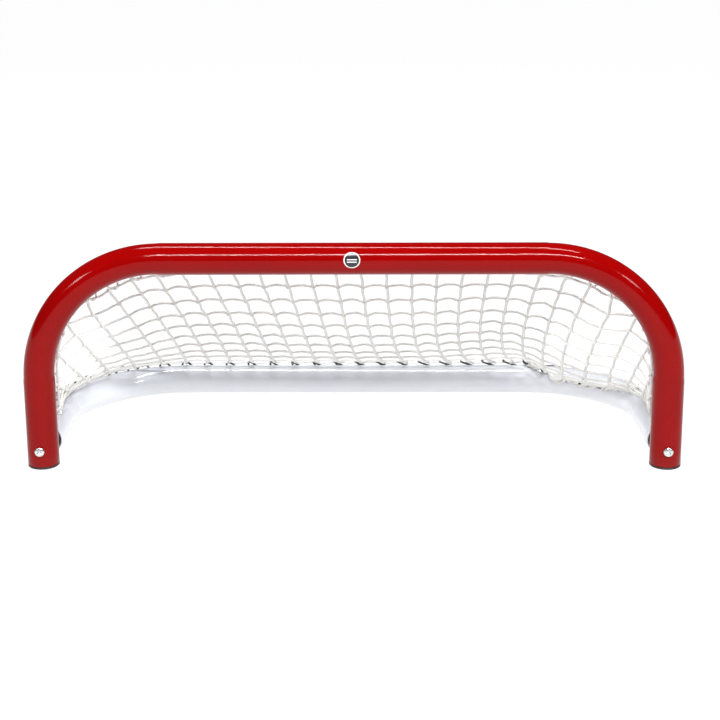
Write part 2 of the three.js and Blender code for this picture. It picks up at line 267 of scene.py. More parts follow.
class Shared:
    """The shader groups, each built once."""

    made: dict[str, bpy.types.NodeTree] = {}

    @classmethod
    def get(cls, build: Callable[[], bpy.types.NodeTree]) -> bpy.types.NodeTree:
        """Args: build: the function that makes the group. Returns: the group."""
        if build.__name__ not in cls.made:
            cls.made[build.__name__] = build()
        return cls.made[build.__name__]


def new_material(name: str, colour: Colour, values: dict[str, float]) -> tuple[Any, Graph, Any]:
    """Starts a material round a Principled BSDF.

    Args:
        name: the material's name.
        colour: its plain colour, which previews show.
        values: the Principled sockets that are the same all over.

    Returns:
        The material, its graph and the Principled node.
    """
    material = bpy.data.materials.new(name)
    material.use_nodes = True
    material.diffuse_color = (*colour, 1.0)
    graph = Graph(material.node_tree)
    shader = material.node_tree.nodes["Principled BSDF"]
    for socket, value in values.items():
        shader.inputs[socket].default_value = value
    return material, graph, shader


@dataclass(frozen=True)
class GlossPaint:
    """Stoved gloss paint on steel tube."""

    name: str
    paint: Colour
    deep: Colour
    dust: Colour
    smooth: float
    scuffed: float
    coat: float
    ior: float

    def make(self) -> bpy.types.Material:
        """Returns: the material."""
        values = {"Coat Weight": self.coat, "Coat Roughness": 0.04, "IOR": self.ior}
        material, graph, shader = new_material(self.name, self.paint, values)
        inputs = {"Paint": (*self.paint, 1.0), "Deep Paint": (*self.deep, 1.0), "Dust": (*self.dust, 1.0),
                  "Smooth": self.smooth, "Scuffed": self.scuffed}
        surface = graph.node("ShaderNodeGroup", inputs, node_tree=Shared.get(paint_group)).outputs
        graph.dress(shader, surface["Colour"], surface["Roughness"], surface["Height"], strength=0.12,
                    distance=0.4 * MM)
        return material


@dataclass(frozen=True)
class Grained:
    """A finish with a fine grain and an uneven tone: moulded plastic, plated steel or printed film."""

    name: str
    light: Colour
    dark: Colour
    rough: tuple[float, float]
    coarse: float
    fine: float
    metallic: float = 0.0
    bump: float = 0.2

    def make(self) -> bpy.types.Material:
        """Returns: the material."""
        material, graph, shader = new_material(self.name, self.light, {"Metallic": self.metallic})
        scales = {"Coarse": self.coarse, "Fine": self.fine}
        grain = graph.node("ShaderNodeGroup", scales, node_tree=Shared.get(grain_group)).outputs
        colour = graph.blend(grain["Tone"], (*self.light, 1.0), (*self.dark, 1.0))
        rough = graph.spread(grain["Tone"], 0.0, 1.0, *self.rough)
        graph.dress(shader, colour, rough, grain["Height"], strength=self.bump, distance=0.3 * MM)
        return material


@dataclass(frozen=True)
class LaidCord:
    """Three-strand nylon cord: one tone on the strands, painted shade in the grooves between them, and a fine
    fibre.
    """

    name: str
    strand: Colour
    # The colour for the grooves between the strands is darker: painted shade.
    groove_shade: Colour
    stain: Colour
    coarse: float = 30.0
    fine: float = 2200.0
    stained: float = 0.35

    def make(self) -> bpy.types.Material:
        """Returns: the material."""
        values = {"Sheen Weight": 0.35, "Sheen Roughness": 0.4, "Specular IOR Level": 0.35}
        material, graph, shader = new_material(self.name, self.strand, values)
        # Where ply is low, in the grooves between the strands, the colour is darkened: painted shade.
        ply = graph.node("ShaderNodeAttribute", attribute_name="ply").outputs["Fac"]
        raised = graph.spread(ply, -0.5, 0.9)
        colour = graph.blend(raised, (*self.groove_shade, 1.0), (*self.strand, 1.0))
        scales = {"Coarse": self.coarse, "Fine": self.fine}
        grain = graph.node("ShaderNodeGroup", scales, node_tree=Shared.get(grain_group)).outputs
        colour = graph.blend(graph.math("MULTIPLY", grain["Tone"], self.stained), colour, (*self.stain, 1.0))
        rough = graph.spread(grain["Height"], 0.2, 0.8, to_low=0.55, to_high=0.85)
        graph.dress(shader, colour, rough, grain["Height"], strength=0.35, distance=0.3 * MM)
        return material


@dataclass
class Finishes:
    """Every finish on the goal, made once."""

    red: Any = None
    white: Any = None
    cord: Any = None
    plastic: Any = None
    zinc: Any = None
    lace_dark: Any = None
    film_dark: Any = None
    film_light: Any = None

    def __post_init__(self) -> None:
        """Makes the materials."""
        self.red = GlossPaint(
            "red_gloss_paint", paint=(0.255, 0.0006, 0.0006), deep=(0.225, 0.0005, 0.0005),
            dust=(0.22, 0.03, 0.025), smooth=0.08, scuffed=0.4, coat=0.0, ior=1.25).make()
        self.white = GlossPaint(
            "white_gloss_paint", paint=(0.78, 0.80, 0.845), deep=(0.745, 0.765, 0.825),
            dust=(0.62, 0.60, 0.57), smooth=0.06, scuffed=0.4, coat=0.3, ior=1.5).make()
        # The darker colours given for the cords' grooves are painted shade between their strands.
        self.cord = LaidCord(
            "off_white_laid_cord", strand=(0.93, 0.925, 0.90), groove_shade=(0.83, 0.82, 0.795),
            stain=(0.89, 0.87, 0.835)).make()
        # The lace on the base tube is coloured near-black, though the record gives it the off-white net cord;
        # this darkens the marks where the hem is laced along the top of the base tube.
        self.lace_dark = LaidCord(
            "slate_laid_cord", strand=(0.045, 0.05, 0.06), groove_shade=(0.018, 0.02, 0.026),
            stain=(0.08, 0.08, 0.085)).make()
        self.plastic = Grained(
            "black_moulded_plastic", light=(0.012, 0.012, 0.013), dark=(0.022, 0.022, 0.023),
            rough=(0.35, 0.5), coarse=160.0, fine=3000.0).make()
        self.zinc = Grained(
            "zinc_plate", light=(0.80, 0.81, 0.82), dark=(0.62, 0.64, 0.66), rough=(0.16, 0.34),
            coarse=500.0, fine=4000.0, metallic=1.0, bump=0.1).make()
        self.film_dark = Grained(
            "black_printed_film", light=(0.015, 0.015, 0.017), dark=(0.03, 0.03, 0.032),
            rough=(0.15, 0.25), coarse=90.0, fine=2500.0, bump=0.05).make()
        self.film_light = Grained(
            "white_printed_film", light=(0.82, 0.82, 0.82), dark=(0.74, 0.74, 0.75),
            rough=(0.15, 0.25), coarse=90.0, fine=2500.0, bump=0.05).make()


# ---------------------------------------------------------------- routes and meshes


@dataclass
class Route:
    """A line in space, measured along its length."""

    points: np.ndarray
    along: np.ndarray = field(init=False)

    def __post_init__(self) -> None:
        """Measures the line."""
        steps = np.linalg.norm(np.diff(self.points, axis=0), axis=1)
        self.along = np.concatenate([[0.0], np.cumsum(steps)])

    @property
    def length(self) -> float:
        """Returns: the whole length in metres."""
        return float(self.along[-1])

    def at(self, distance: Any) -> np.ndarray:
        """Args: distance: how far along, in metres. Returns: the points there."""
        return np.stack([np.interp(distance, self.along, self.points[:, k]) for k in range(3)], axis=-1)

    def heading(self, distance: Any) -> np.ndarray:
        """Args: distance: how far along, in metres. Returns: unit vectors along the line there."""
        reach = 0.5 * MM
        return unit(self.at(np.add(distance, reach)) - self.at(np.subtract(distance, reach)))


def unit(vectors: np.ndarray) -> np.ndarray:
    """Args: vectors: any vectors. Returns: the same directions at length one."""
    return vectors / np.maximum(np.linalg.norm(vectors, axis=-1, keepdims=True), 1e-12)


def smooth_step(value: Any) -> Any:
    """Args: value: any number. Returns: 0 below 0, 1 above 1, and an even curve between."""
    t = np.clip(value, 0.0, 1.0)
    return t * t * (3 - 2 * t)


def arc(centre: tuple[float, float], radius: float, start: float, end: float, steps: int) -> np.ndarray:
    """Points on an arc in a plane.

    Args:
        centre: the arc's centre.
        radius: its radius.
        start: its first angle in radians.
        end: its last angle.
        steps: how many points it has.

    Returns:
        The points, with two coordinates each.
    """
    turn = np.linspace(start, end, steps)
    return np.stack([centre[0] + radius * np.cos(turn), centre[1] + radius * np.sin(turn)], axis=1)


def new_piece(name: str, points: Any, faces: Any, edges: Any = (), smooth: bool = True) -> bpy.types.Object:
    """Makes a mesh object whose place is in its mesh.

    Args:
        name: the object's name.
        points: its vertices in metres.
        faces: its faces, as vertex numbers.
        edges: its loose edges.
        smooth: whether its faces are shaded smooth.

    Returns:
        The object.
    """
    mesh = bpy.data.meshes.new(name)
    mesh.from_pydata([tuple(map(float, p)) for p in points], list(edges), list(faces))
    mesh.validate()
    mesh.update()
    if smooth and len(mesh.polygons):
        mesh.shade_smooth()
    made = bpy.data.objects.new(name, mesh)
    bpy.context.scene.collection.objects.link(made)
    return made


def finish_piece(piece: bpy.types.Object, material: Any, slot: Slot, *nodes: str) -> bpy.types.Object:
    """Dresses a finished piece and puts it on the goal.

    Args:
        piece: the object.
        material: its finish, or None where its mesh has one already.
        slot: the record's slot for its finish; not used.
        nodes: the CAD nodes that it stands for.

    Returns:
        The object.
    """
    if material is not None:
        piece.data.materials.clear()
        piece.data.materials.append(material)
    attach(piece, BODY)
    if nodes:
        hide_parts(*nodes)
    log.info("%s: %d faces, for %s", piece.name, len(piece.data.polygons), ", ".join(nodes) or "a detail")
    return piece


def grid_faces(rings: int, sides: int, offset: int = 0, flip: bool = False) -> list[tuple[int, ...]]:
    """Quads between rings of points that close on themselves.

    Args:
        rings: how many rings there are.
        sides: how many points a ring has.
        offset: the first ring's first vertex.
        flip: turns the faces round.

    Returns:
        The faces.
    """
    faces = []
    for i in range(rings - 1):
        for j in range(sides):
            a = offset + i * sides + j
            b = offset + i * sides + (j + 1) % sides
            quad = (a, b, b + sides, a + sides)
            faces.append(quad[::-1] if flip else quad)
    return faces


def turned(name: str, base: np.ndarray, axis: np.ndarray, profile: list[tuple[float, float]],
           sides: int) -> bpy.types.Object:
    """Turns a profile about an axis, as on a lathe.

    Args:
        name: the object's name.
        base: the point that heights are measured from.
        axis: the unit vector that heights are measured along.
        profile: radius and height of each ring, from one end to the other. The ends are closed.
        sides: how many sides the piece has.

    Returns:
        The object.
    """
    askew = [0.31, 0.17, 0.93]
    side = unit(np.cross(axis, askew))
    other = np.cross(axis, side)
    turn = np.linspace(0, 2 * math.pi, sides, endpoint=False)
    ring = np.cos(turn)[:, None] * side + np.sin(turn)[:, None] * other
    points = np.concatenate([base + axis * height + ring * radius for radius, height in profile])
    faces = grid_faces(len(profile), sides)
    last = (len(profile) - 1) * sides
    ends = np.array([base + axis * profile[0][1], base + axis * profile[-1][1]])
    count = len(points)
    faces += [(count, (j + 1) % sides, j) for j in range(sides)]
    faces += [(count + 1, last + j, last + (j + 1) % sides) for j in range(sides)]
    return new_piece(name, np.concatenate([points, ends]), faces)


@dataclass
class TubeSweep:
    """An open-ended steel tube along a route in one plane, pressed slightly oval where it is bent."""

    route: Route
    square_to: np.ndarray
    bends: list[tuple[float, float]]
    radius: float
    wall: float = 2 * MM
    sides: int = 96
    pinch: float = 0.028
    swell: float = 0.012
    lip: float = 0.5 * MM
    spacing: float = 30 * MM
    bend_rings: int = 56
    ease: float = 4 * MM

    def stations(self) -> np.ndarray:
        """Returns: distances along the route, close together in the bends and at their ends."""
        length = self.route.length
        lip = np.array([0.0, self.lip * 0.3, self.lip])
        marks = [lip, length - lip, np.arange(20 * MM, length - 10 * MM, self.spacing)]
        for start, end in self.bends:
            marks.append(np.linspace(start, end, self.bend_rings))
            for edge in (start, end):
                marks.append(edge + np.linspace(-6 * MM, 6 * MM, 7))
        return np.unique(np.round(np.clip(np.concatenate(marks), 0, length), 6))

    def skin(self, along: np.ndarray, radius: np.ndarray) -> np.ndarray:
        """Rings of points round the route.

        Args:
            along: where each ring is.
            radius: how large it is.

        Returns:
            The points, ring by ring.
        """
        centre = self.route.at(along)
        heading = self.route.heading(np.clip(along, MM, self.route.length - MM))
        across = unit(self.square_to - heading * (heading @ self.square_to)[:, None])
        inward = np.cross(across, heading)
        bent = np.zeros(len(along))
        for start, end in self.bends:
            rise = smooth_step((along - start + self.ease) / (2 * self.ease))
            bent += rise * smooth_step((end - along + self.ease) / (2 * self.ease))
        turn = np.linspace(0, 2 * math.pi, self.sides, endpoint=False)[None, :, None]
        flat = (radius * (1 - self.pinch * bent))[:, None, None] * np.cos(turn) * inward[:, None]
        wide = (radius * (1 + self.swell * bent))[:, None, None] * np.sin(turn) * across[:, None]
        return (centre[:, None] + flat + wide).reshape(-1, 3)

    def build(self, name: str) -> bpy.types.Object:
        """Args: name: the object's name. Returns: the tube, with its bore and rounded ends."""
        along = self.stations()
        near_end = np.minimum(along, self.route.length - along)
        share = near_end / self.lip
        outer = self.radius - self.lip * (1 - np.sqrt(np.clip(share * (2 - share), 0, 1)))
        outer = np.where(near_end >= self.lip, self.radius, outer)
        outside = self.skin(along, outer)
        inside = self.skin(along, np.full(len(along), self.radius - self.wall))
        rings, sides, count = len(along), self.sides, len(outside)
        faces = grid_faces(rings, sides) + grid_faces(rings, sides, count, flip=True)
        for ring, flip in ((0, True), (rings - 1, False)):
            for j in range(sides):
                a, b = ring * sides + j, ring * sides + (j + 1) % sides
                quad = (a, b, count + b, count + a)
                faces.append(quad[::-1] if flip else quad)
        piece = new_piece(name, np.concatenate([outside, inside]), faces)
        fix_normals(piece)
        return piece


def fix_normals(piece: bpy.types.Object) -> None:
    """Turns a closed mesh's faces outwards.

    Args:
        piece: the object.
    """
    work = bmesh.new()
    work.from_mesh(piece.data)
    bmesh.ops.recalc_face_normals(work, faces=work.faces)
    work.to_mesh(piece.data)
    work.free()
    piece.data.shade_smooth()


@dataclass
class GoalPlan:
    """The goal's driving lines: the tubes' bends and angles, placed by the CAD frame's boxes."""

    bend_radius: float = 188 * MM
    toe_in: float = math.radians(1.35)
    arm_gap: float = 3.6 * MM
    bolt_height: float = 30 * MM
    depth: float = 342 * MM
    arc_steps: int = 65

    def __post_init__(self) -> None:
        """Reads the frame's boxes."""
        low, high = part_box("front_frame")
        self.radius = (high.y - low.y) / 2
        self.post_y = (high.y + low.y) / 2
        self.middle = (high.x + low.x) / 2
        self.post_x = (high.x - low.x) / 2 - self.radius
        self.bar_z = high.z - self.radius
        self.foot_z = low.z
        self.rear_y = self.post_y + self.depth
        self.arm_start = self.post_y + self.radius + self.arm_gap

    def arch(self, inset: float = 0.0, back: float = 0.0, bottom: float = 0.0) -> tuple[Route, list[Any]]:
        """The arch's line from the left foot over the crossbar to the right foot.

        Args:
            inset: how far inside the tube's axis it runs.
            back: how far behind the axis it runs.
            bottom: the height of its ends.

        Returns:
            The route, and where its two bends start and end along it.
        """
        bend_x, bend_z = self.post_x - self.bend_radius, self.bar_z - self.bend_radius
        radius = self.bend_radius - inset
        left = arc((-bend_x, bend_z), radius, math.pi, math.pi / 2, self.arc_steps)
        right = arc((bend_x, bend_z), radius, math.pi / 2, 0, self.arc_steps)
        foot_x = self.post_x - inset
        flat = np.concatenate([[(-foot_x, bottom)], left, right, [(foot_x, bottom)]])
        depth = np.full(len(flat), self.post_y + back)
        points = np.stack([flat[:, 0] + self.middle, depth, flat[:, 1]], axis=1)
        route = Route(points)
        ends = route.along[[1, self.arc_steps, self.arc_steps + 1, 2 * self.arc_steps]]
        return route, [(ends[0], ends[1]), (ends[2], ends[3])]

    def base_height(self, y: Any) -> Any:
        """Args: y: places front to back. Returns: the height of the base tube's axis there."""
        share = np.clip((y - self.arm_start) / (self.rear_y - self.arm_start), 0, 1)
        return self.bolt_height + (self.radius - self.bolt_height) * share

    def base(self, front: float | None = None, reach: float = 0.0) -> tuple[Route, list[Any]]:
        """The base tube's line from the left arm round the rear to the right arm.

        Args:
            front: where its ends are, front to back.
            reach: how far outside the tube's axis it runs, level.

        Returns:
            The route, and where its two bends start and end along it.
        """
        front = self.arm_start if front is None else front
        toe, radius = self.toe_in, self.bend_radius + reach
        centre_y = self.rear_y - self.bend_radius
        tangent_y = centre_y + self.bend_radius * math.sin(toe)
        arm_x = self.post_x - (tangent_y - self.arm_start) * math.tan(toe)
        centre_x = arm_x - self.bend_radius * math.cos(toe)
        right = arc((centre_x, centre_y), radius, toe, math.pi / 2, self.arc_steps)
        start = right[0] + np.array([math.tan(toe), -1.0]) * (right[0][1] - front)
        half = np.concatenate([[start], right])
        flat = np.concatenate([half * [-1, 1], half[::-1]])
        points = np.stack([flat[:, 0] + self.middle, flat[:, 1], self.base_height(flat[:, 1])], axis=1)
        route = Route(points)
        ends = route.along[[1, self.arc_steps, self.arc_steps + 1, 2 * self.arc_steps]]
        return route, [(ends[0], ends[1]), (ends[2], ends[3])]

    def arm(self, side: Side) -> tuple[np.ndarray, np.ndarray]:
        """Args: side: which arm. Returns: the middle of its front end, and the way it runs back."""
        drop = (self.bolt_height - self.radius) / (self.rear_y - self.arm_start)
        start = np.array([self.middle + side.value * self.post_x, self.arm_start, self.bolt_height])
        return start, unit(np.array([-side.value * math.tan(self.toe_in), 1.0, -drop]))


# ---------------------------------------------------------------- trees for what repeats or follows a line


def cord_tree() -> bpy.types.NodeTree:
    """Builds the tree that lays a three-strand cord along loose edges.

    Returns:
        A geometry tree with inputs Radius, Lay, Strand Depth, Step and Finish.
    """
    sides = 9
    graph, given, result = new_group("laid_cord", "GeometryNodeTree", [
        ("Geometry", "INPUT", "NodeSocketGeometry"),
        ("Radius", "INPUT", "NodeSocketFloat"),
        ("Lay", "INPUT", "NodeSocketFloat"),
        ("Strand Depth", "INPUT", "NodeSocketFloat"),
        ("Step", "INPUT", "NodeSocketFloat"),
        ("Finish", "INPUT", "NodeSocketMaterial"),
        ("Geometry", "OUTPUT", "NodeSocketGeometry"),
    ])
    line = stepped_line(graph, given)
    reached = graph.node("GeometryNodeSplineParameter").outputs["Length"]
    turns = graph.math("DIVIDE", reached, given.outputs["Lay"])
    tilt = graph.math("MULTIPLY", turns, 2 * math.pi)
    line = graph.node("GeometryNodeSetCurveTilt", {"Curve": line.outputs[0], "Tilt": tilt})
    section = graph.node("GeometryNodeCurvePrimitiveCircle",
                         {"Resolution": sides, "Radius": given.outputs["Radius"]})
    number = graph.node("GeometryNodeInputIndex").outputs[0]
    wave = graph.math("COSINE", graph.math("MULTIPLY", number, 3 * 2 * math.pi / sides))
    swell = graph.math("ADD", graph.math("MULTIPLY", wave, given.outputs["Strand Depth"]), 1.0)
    place = graph.node("GeometryNodeInputPosition").outputs[0]
    moved = graph.node("ShaderNodeVectorMath", {0: place, "Scale": swell}, operation="SCALE")
    section = graph.node("GeometryNodeSetPosition",
                         {"Geometry": section.outputs[0], "Position": moved.outputs[0]})
    section = graph.node("GeometryNodeStoreNamedAttribute",
                         {"Geometry": section.outputs[0], "Name": "ply", "Value": wave},
                         data_type="FLOAT", domain="POINT")
    skin = graph.node("GeometryNodeCurveToMesh",
                      {"Curve": line.outputs[0], "Profile Curve": section.outputs[0], "Fill Caps": True})
    return close_tree(graph, given, result, skin.outputs[0])


def stepped_line(graph: Graph, given: Any) -> bpy.types.Node:
    """Turns a tree's loose edges into curves with evenly spaced points.

    Args:
        graph: the tree's graph.
        given: its input node, which has a Geometry and a Step.

    Returns:
        The node that puts out the curves.
    """
    line = graph.node("GeometryNodeMeshToCurve", {0: given.outputs["Geometry"]})
    inputs = {"Curve": line.outputs[0], "Length": given.outputs["Step"]}
    return graph.node("GeometryNodeResampleCurve", inputs, mode="LENGTH")


def facing_rotation(graph: Graph, lean: Any = None) -> Any:
    """Reads the direction that each point carries as the attribute facing.

    Args:
        graph: the tree's graph.
        lean: a vector socket that is added to the direction, or None.

    Returns:
        The socket of the rotation that turns Z to the direction.
    """
    stored = graph.node("GeometryNodeInputNamedAttribute", {"Name": "facing"}, data_type="FLOAT_VECTOR")
    way = stored.outputs[0]
    if lean is not None:
        way = graph.node("ShaderNodeVectorMath", {0: way, 1: lean}, operation="ADD").outputs[0]
    return graph.node("FunctionNodeAlignRotationToVector", {"Vector": way}, axis="Z").outputs[0]


def close_tree(graph: Graph, given: Any, result: Any, shape: Any) -> bpy.types.NodeTree:
    """Ends a tree with smooth shading, realised instances and its finish.

    Args:
        graph: the tree's graph.
        given: its input node, which has a Finish.
        result: its output node.
        shape: the geometry so far.

    Returns:
        The tree.
    """
    shape = graph.node("GeometryNodeSetShadeSmooth", {0: shape}).outputs[0]
    shape = graph.node("GeometryNodeRealizeInstances", {0: shape}).outputs[0]
    shape = graph.node("GeometryNodeSetMaterial", {"Geometry": shape, "Material": given.outputs["Finish"]})
    graph.tree.links.new(shape.outputs[0], result.inputs[0])
    return graph.tree


def rod_tree() -> bpy.types.NodeTree:
    """Builds the tree that runs a round rod along loose edges.

    Returns:
        A geometry tree with inputs Radius, Sides, Step and Finish.
    """
    graph, given, result = new_group("round_rod", "GeometryNodeTree", [
        ("Geometry", "INPUT", "NodeSocketGeometry"),
        ("Radius", "INPUT", "NodeSocketFloat"),
        ("Sides", "INPUT", "NodeSocketInt"),
        ("Step", "INPUT", "NodeSocketFloat"),
        ("Finish", "INPUT", "NodeSocketMaterial"),
        ("Geometry", "OUTPUT", "NodeSocketGeometry"),
    ])
    line = stepped_line(graph, given)
    section = graph.node("GeometryNodeCurvePrimitiveCircle", {"Resolution": given.outputs["Sides"],
                                                              "Radius": given.outputs["Radius"]})
    skin = graph.node("GeometryNodeCurveToMesh",
                      {"Curve": line.outputs[0], "Profile Curve": section.outputs[0], "Fill Caps": True})
    return close_tree(graph, given, result, skin.outputs[0])


def standoff_tree() -> bpy.types.NodeTree:
    """Builds the tree that stands a short rod with a weld bead at each end on every point.

    Returns:
        A geometry tree with inputs Radius, Height, Bead and Finish. Points carry the attribute facing.
    """
    graph, given, result = new_group("welded_standoffs", "GeometryNodeTree", [
        ("Geometry", "INPUT", "NodeSocketGeometry"),
        ("Radius", "INPUT", "NodeSocketFloat"),
        ("Height", "INPUT", "NodeSocketFloat"),
        ("Bead", "INPUT", "NodeSocketFloat"),
        ("Finish", "INPUT", "NodeSocketMaterial"),
        ("Geometry", "OUTPUT", "NodeSocketGeometry"),
    ])
    top = graph.node("ShaderNodeCombineXYZ", {"Z": given.outputs["Height"]}).outputs[0]
    line = graph.node("GeometryNodeCurvePrimitiveLine", {"End": top})
    line = graph.node("GeometryNodeResampleCurve", {"Curve": line.outputs[0], "Count": 15})
    share = graph.node("GeometryNodeSplineParameter").outputs["Factor"]
    from_middle = graph.math("ABSOLUTE", graph.math("SUBTRACT", graph.math("MULTIPLY", share, 2.0), 1.0))
    ends = graph.math("POWER", from_middle, 5.0)
    wide = graph.math("ADD", graph.math("MULTIPLY", ends, given.outputs["Bead"]), given.outputs["Radius"])
    place = graph.node("GeometryNodeInputPosition").outputs[0]
    uneven = graph.spread(graph.noise(place, scale=900.0), 0.2, 0.8, to_low=0.9, to_high=1.1)
    section = graph.node("GeometryNodeCurvePrimitiveCircle", {"Resolution": 18, "Radius": 1.0})
    scale = graph.math("MULTIPLY", wide, uneven)
    skin = graph.node("GeometryNodeCurveToMesh",
                      {"Curve": line.outputs[0], "Profile Curve": section.outputs[0], "Scale": scale,
                       "Fill Caps": True})
    copies = graph.node("GeometryNodeInstanceOnPoints",
                        {"Points": given.outputs["Geometry"], "Instance": skin.outputs[0],
                         "Rotation": facing_rotation(graph)})
    return close_tree(graph, given, result, copies.outputs[0])


def knot_tree() -> bpy.types.NodeTree:
    """Builds the tree that wraps a turn of cord round every crossing.

    Returns:
        A geometry tree with inputs Cord, Seed and Finish. Points carry the attribute facing.
    """
    graph, given, result = new_group("net_knots", "GeometryNodeTree", [
        ("Geometry", "INPUT", "NodeSocketGeometry"),
        ("Cord", "INPUT", "NodeSocketFloat"),
        ("Seed", "INPUT", "NodeSocketInt"),
        ("Finish", "INPUT", "NodeSocketMaterial"),
        ("Geometry", "OUTPUT", "NodeSocketGeometry"),
    ])
    turn_radius = graph.math("MULTIPLY", given.outputs["Cord"], 1.05)
    line = graph.node("GeometryNodeCurvePrimitiveCircle", {"Resolution": 9, "Radius": turn_radius})
    cord = graph.math("MULTIPLY", given.outputs["Cord"], 0.78)
    section = graph.node("GeometryNodeCurvePrimitiveCircle", {"Resolution": 6, "Radius": cord})
    skin = graph.node("GeometryNodeCurveToMesh",
                      {"Curve": line.outputs[0], "Profile Curve": section.outputs[0]})
    most_lean = 0.45
    lean = graph.node("FunctionNodeRandomValue", {0: (-most_lean,) * 3, 1: (most_lean,) * 3,
                                                  "Seed": given.outputs["Seed"]}, data_type="FLOAT_VECTOR")
    copies = graph.node("GeometryNodeInstanceOnPoints",
                        {"Points": given.outputs["Geometry"], "Instance": skin.outputs[0],
                         "Rotation": facing_rotation(graph, lean.outputs[0]), "Scale": (1.0, 1.0, 1.35)})
    return close_tree(graph, given, result, copies.outputs[0])


def grow(name: str, source: bpy.types.Object, build: Callable[[], Any],
         values: dict[str, Any]) -> bpy.types.Object:
    """Runs a geometry tree on a source object and keeps the result as a plain mesh.

    Args:
        name: the new object's name.
        source: the object that the tree starts from, which is then removed.
        build: the function that makes the tree.
        values: the tree's inputs by name.

    Returns:
        The new object.
    """
    tree = Shared.get(build)
    modifier = source.modifiers.new("grow", "NODES")
    modifier.node_group = tree
    for item in tree.interface.items_tree:
        if item.item_type == "SOCKET" and item.in_out == "INPUT" and item.name in values:
            modifier[item.identifier] = values[item.name]
    depsgraph = bpy.context.evaluated_depsgraph_get()
    mesh = bpy.data.meshes.new_from_object(source.evaluated_get(depsgraph), depsgraph=depsgraph)
    mesh.name = name
    bpy.data.objects.remove(source)
    made = bpy.data.objects.new(name, mesh)
    bpy.context.scene.collection.objects.link(made)
    return made


def loose_lines(name: str, lines: list[np.ndarray]) -> bpy.types.Object:
    """Makes an object of loose edges.

    Args:
        name: its name.
        lines: each line's points.

    Returns:
        The object.
    """
    edges, count = [], 0
    for line in lines:
        edges += [(count + i, count + i + 1) for i in range(len(line) - 1)]
        count += len(line)
    return new_piece(name, np.concatenate(lines), [], edges)


def marked_points(name: str, points: np.ndarray, facing: np.ndarray) -> bpy.types.Object:
    """Makes an object of loose points with a direction each.

    Args:
        name: its name.
        points: the points.
        facing: each point's direction, kept as the attribute facing.

    Returns:
        The object.
    """
    made = new_piece(name, points, [])
    layer = made.data.attributes.new("facing", "FLOAT_VECTOR", "POINT")
    layer.data.foreach_set("vector", np.asarray(facing, np.float32).ravel())
    return made


# ---------------------------------------------------------------- the frames


@dataclass
class RedArch:
    """The posts and crossbar: one bent tube, with a moulded cap pressed into each foot."""

    plan: GoalPlan
    finishes: Finishes
    cap_rim: float = 3.4 * MM
    cap_edge: float = 0.7 * MM

    def build(self) -> None:
        """Builds the tube and its foot caps."""
        route, bends = self.plan.arch(bottom=self.plan.foot_z)
        sweep = TubeSweep(route, BACK, bends, self.plan.radius)
        finish_piece(sweep.build("red_arch_tube"), self.finishes.red, Slot.RED, "front_frame")
        for side in Side:
            self.foot_cap(side)

    def foot_cap(self, side: Side) -> None:
        """Args: side: which post's cap to build."""
        radius, edge, rim = self.plan.radius, self.cap_edge, self.cap_rim
        base = np.array([self.plan.middle + side.value * self.plan.post_x, self.plan.post_y, 0.0])
        bore = radius - 2.6 * MM
        profile = [(radius * 0.30, 1.2 * MM), (radius * 0.34, 0.9 * MM), (radius * 0.36, 0.0),
                   (radius - 2.2 * edge, 0.0), (radius - edge, 0.2 * edge), (radius - 0.3 * edge, 0.9 * edge),
                   (radius, 2 * edge), (radius, rim - edge), (radius - 0.5 * edge, rim - 0.2 * edge),
                   (radius - 1.5 * edge, rim), (bore, rim + 0.1 * MM), (bore, 14 * MM), (bore - MM, 17 * MM),
                   (bore - 3 * MM, 17 * MM), (bore - 3 * MM, 6 * MM)]
        piece = turned(f"{side.name.lower()}_foot_cap_moulding", base, UP, profile, sides=96)
        fix_normals(piece)
        finish_piece(piece, self.finishes.plastic, Slot.PLASTIC, f"{side.name.lower()}_foot_cap")


@dataclass
class WhiteBase:
    """The base tube, with a moulded plug in each arm that bears on the post."""

    plan: GoalPlan
    finishes: Finishes
    flange: float = 2.5 * MM
    edge: float = 0.5 * MM
    body: float = 24 * MM

    def build(self) -> None:
        """Builds the tube and its plugs."""
        route, bends = self.plan.base()
        sweep = TubeSweep(route, UP, bends, self.plan.radius)
        finish_piece(sweep.build("white_base_tube"), self.finishes.white, Slot.WHITE, "base_frame")
        for side in Side:
            self.plug(side)

    def plug(self, side: Side) -> None:
        """Args: side: which arm's plug to build."""
        name = side.name.lower()
        start, back = self.plan.arm(side)
        radius = self.plan.radius
        bore = radius - 2.3 * MM
        neck = bore - 0.6 * MM
        low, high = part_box(f"{name}_base_plug")
        lip = (high.z - low.z) / 2
        face = -self.flange
        profile = [(lip - 2 * self.edge, face), (lip - self.edge, face + 0.2 * self.edge),
                   (lip, face + self.edge), (lip, -0.2 * MM), (bore, 0.0), (bore, 6 * MM), (neck, 6.4 * MM),
                   (neck, 9 * MM), (bore, 9.4 * MM), (bore, 15 * MM), (bore - 2 * MM, self.body)]
        piece = turned(f"{name}_base_plug_moulding", start, back, profile, sides=72)
        fix_normals(piece)
        finish_piece(piece, self.finishes.plastic, Slot.PLASTIC, f"{name}_base_plug")
        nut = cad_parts[f"{name}_plug_nut"]
        nut.data.materials.clear()
        nut.data.materials.append(self.finishes.zinc)


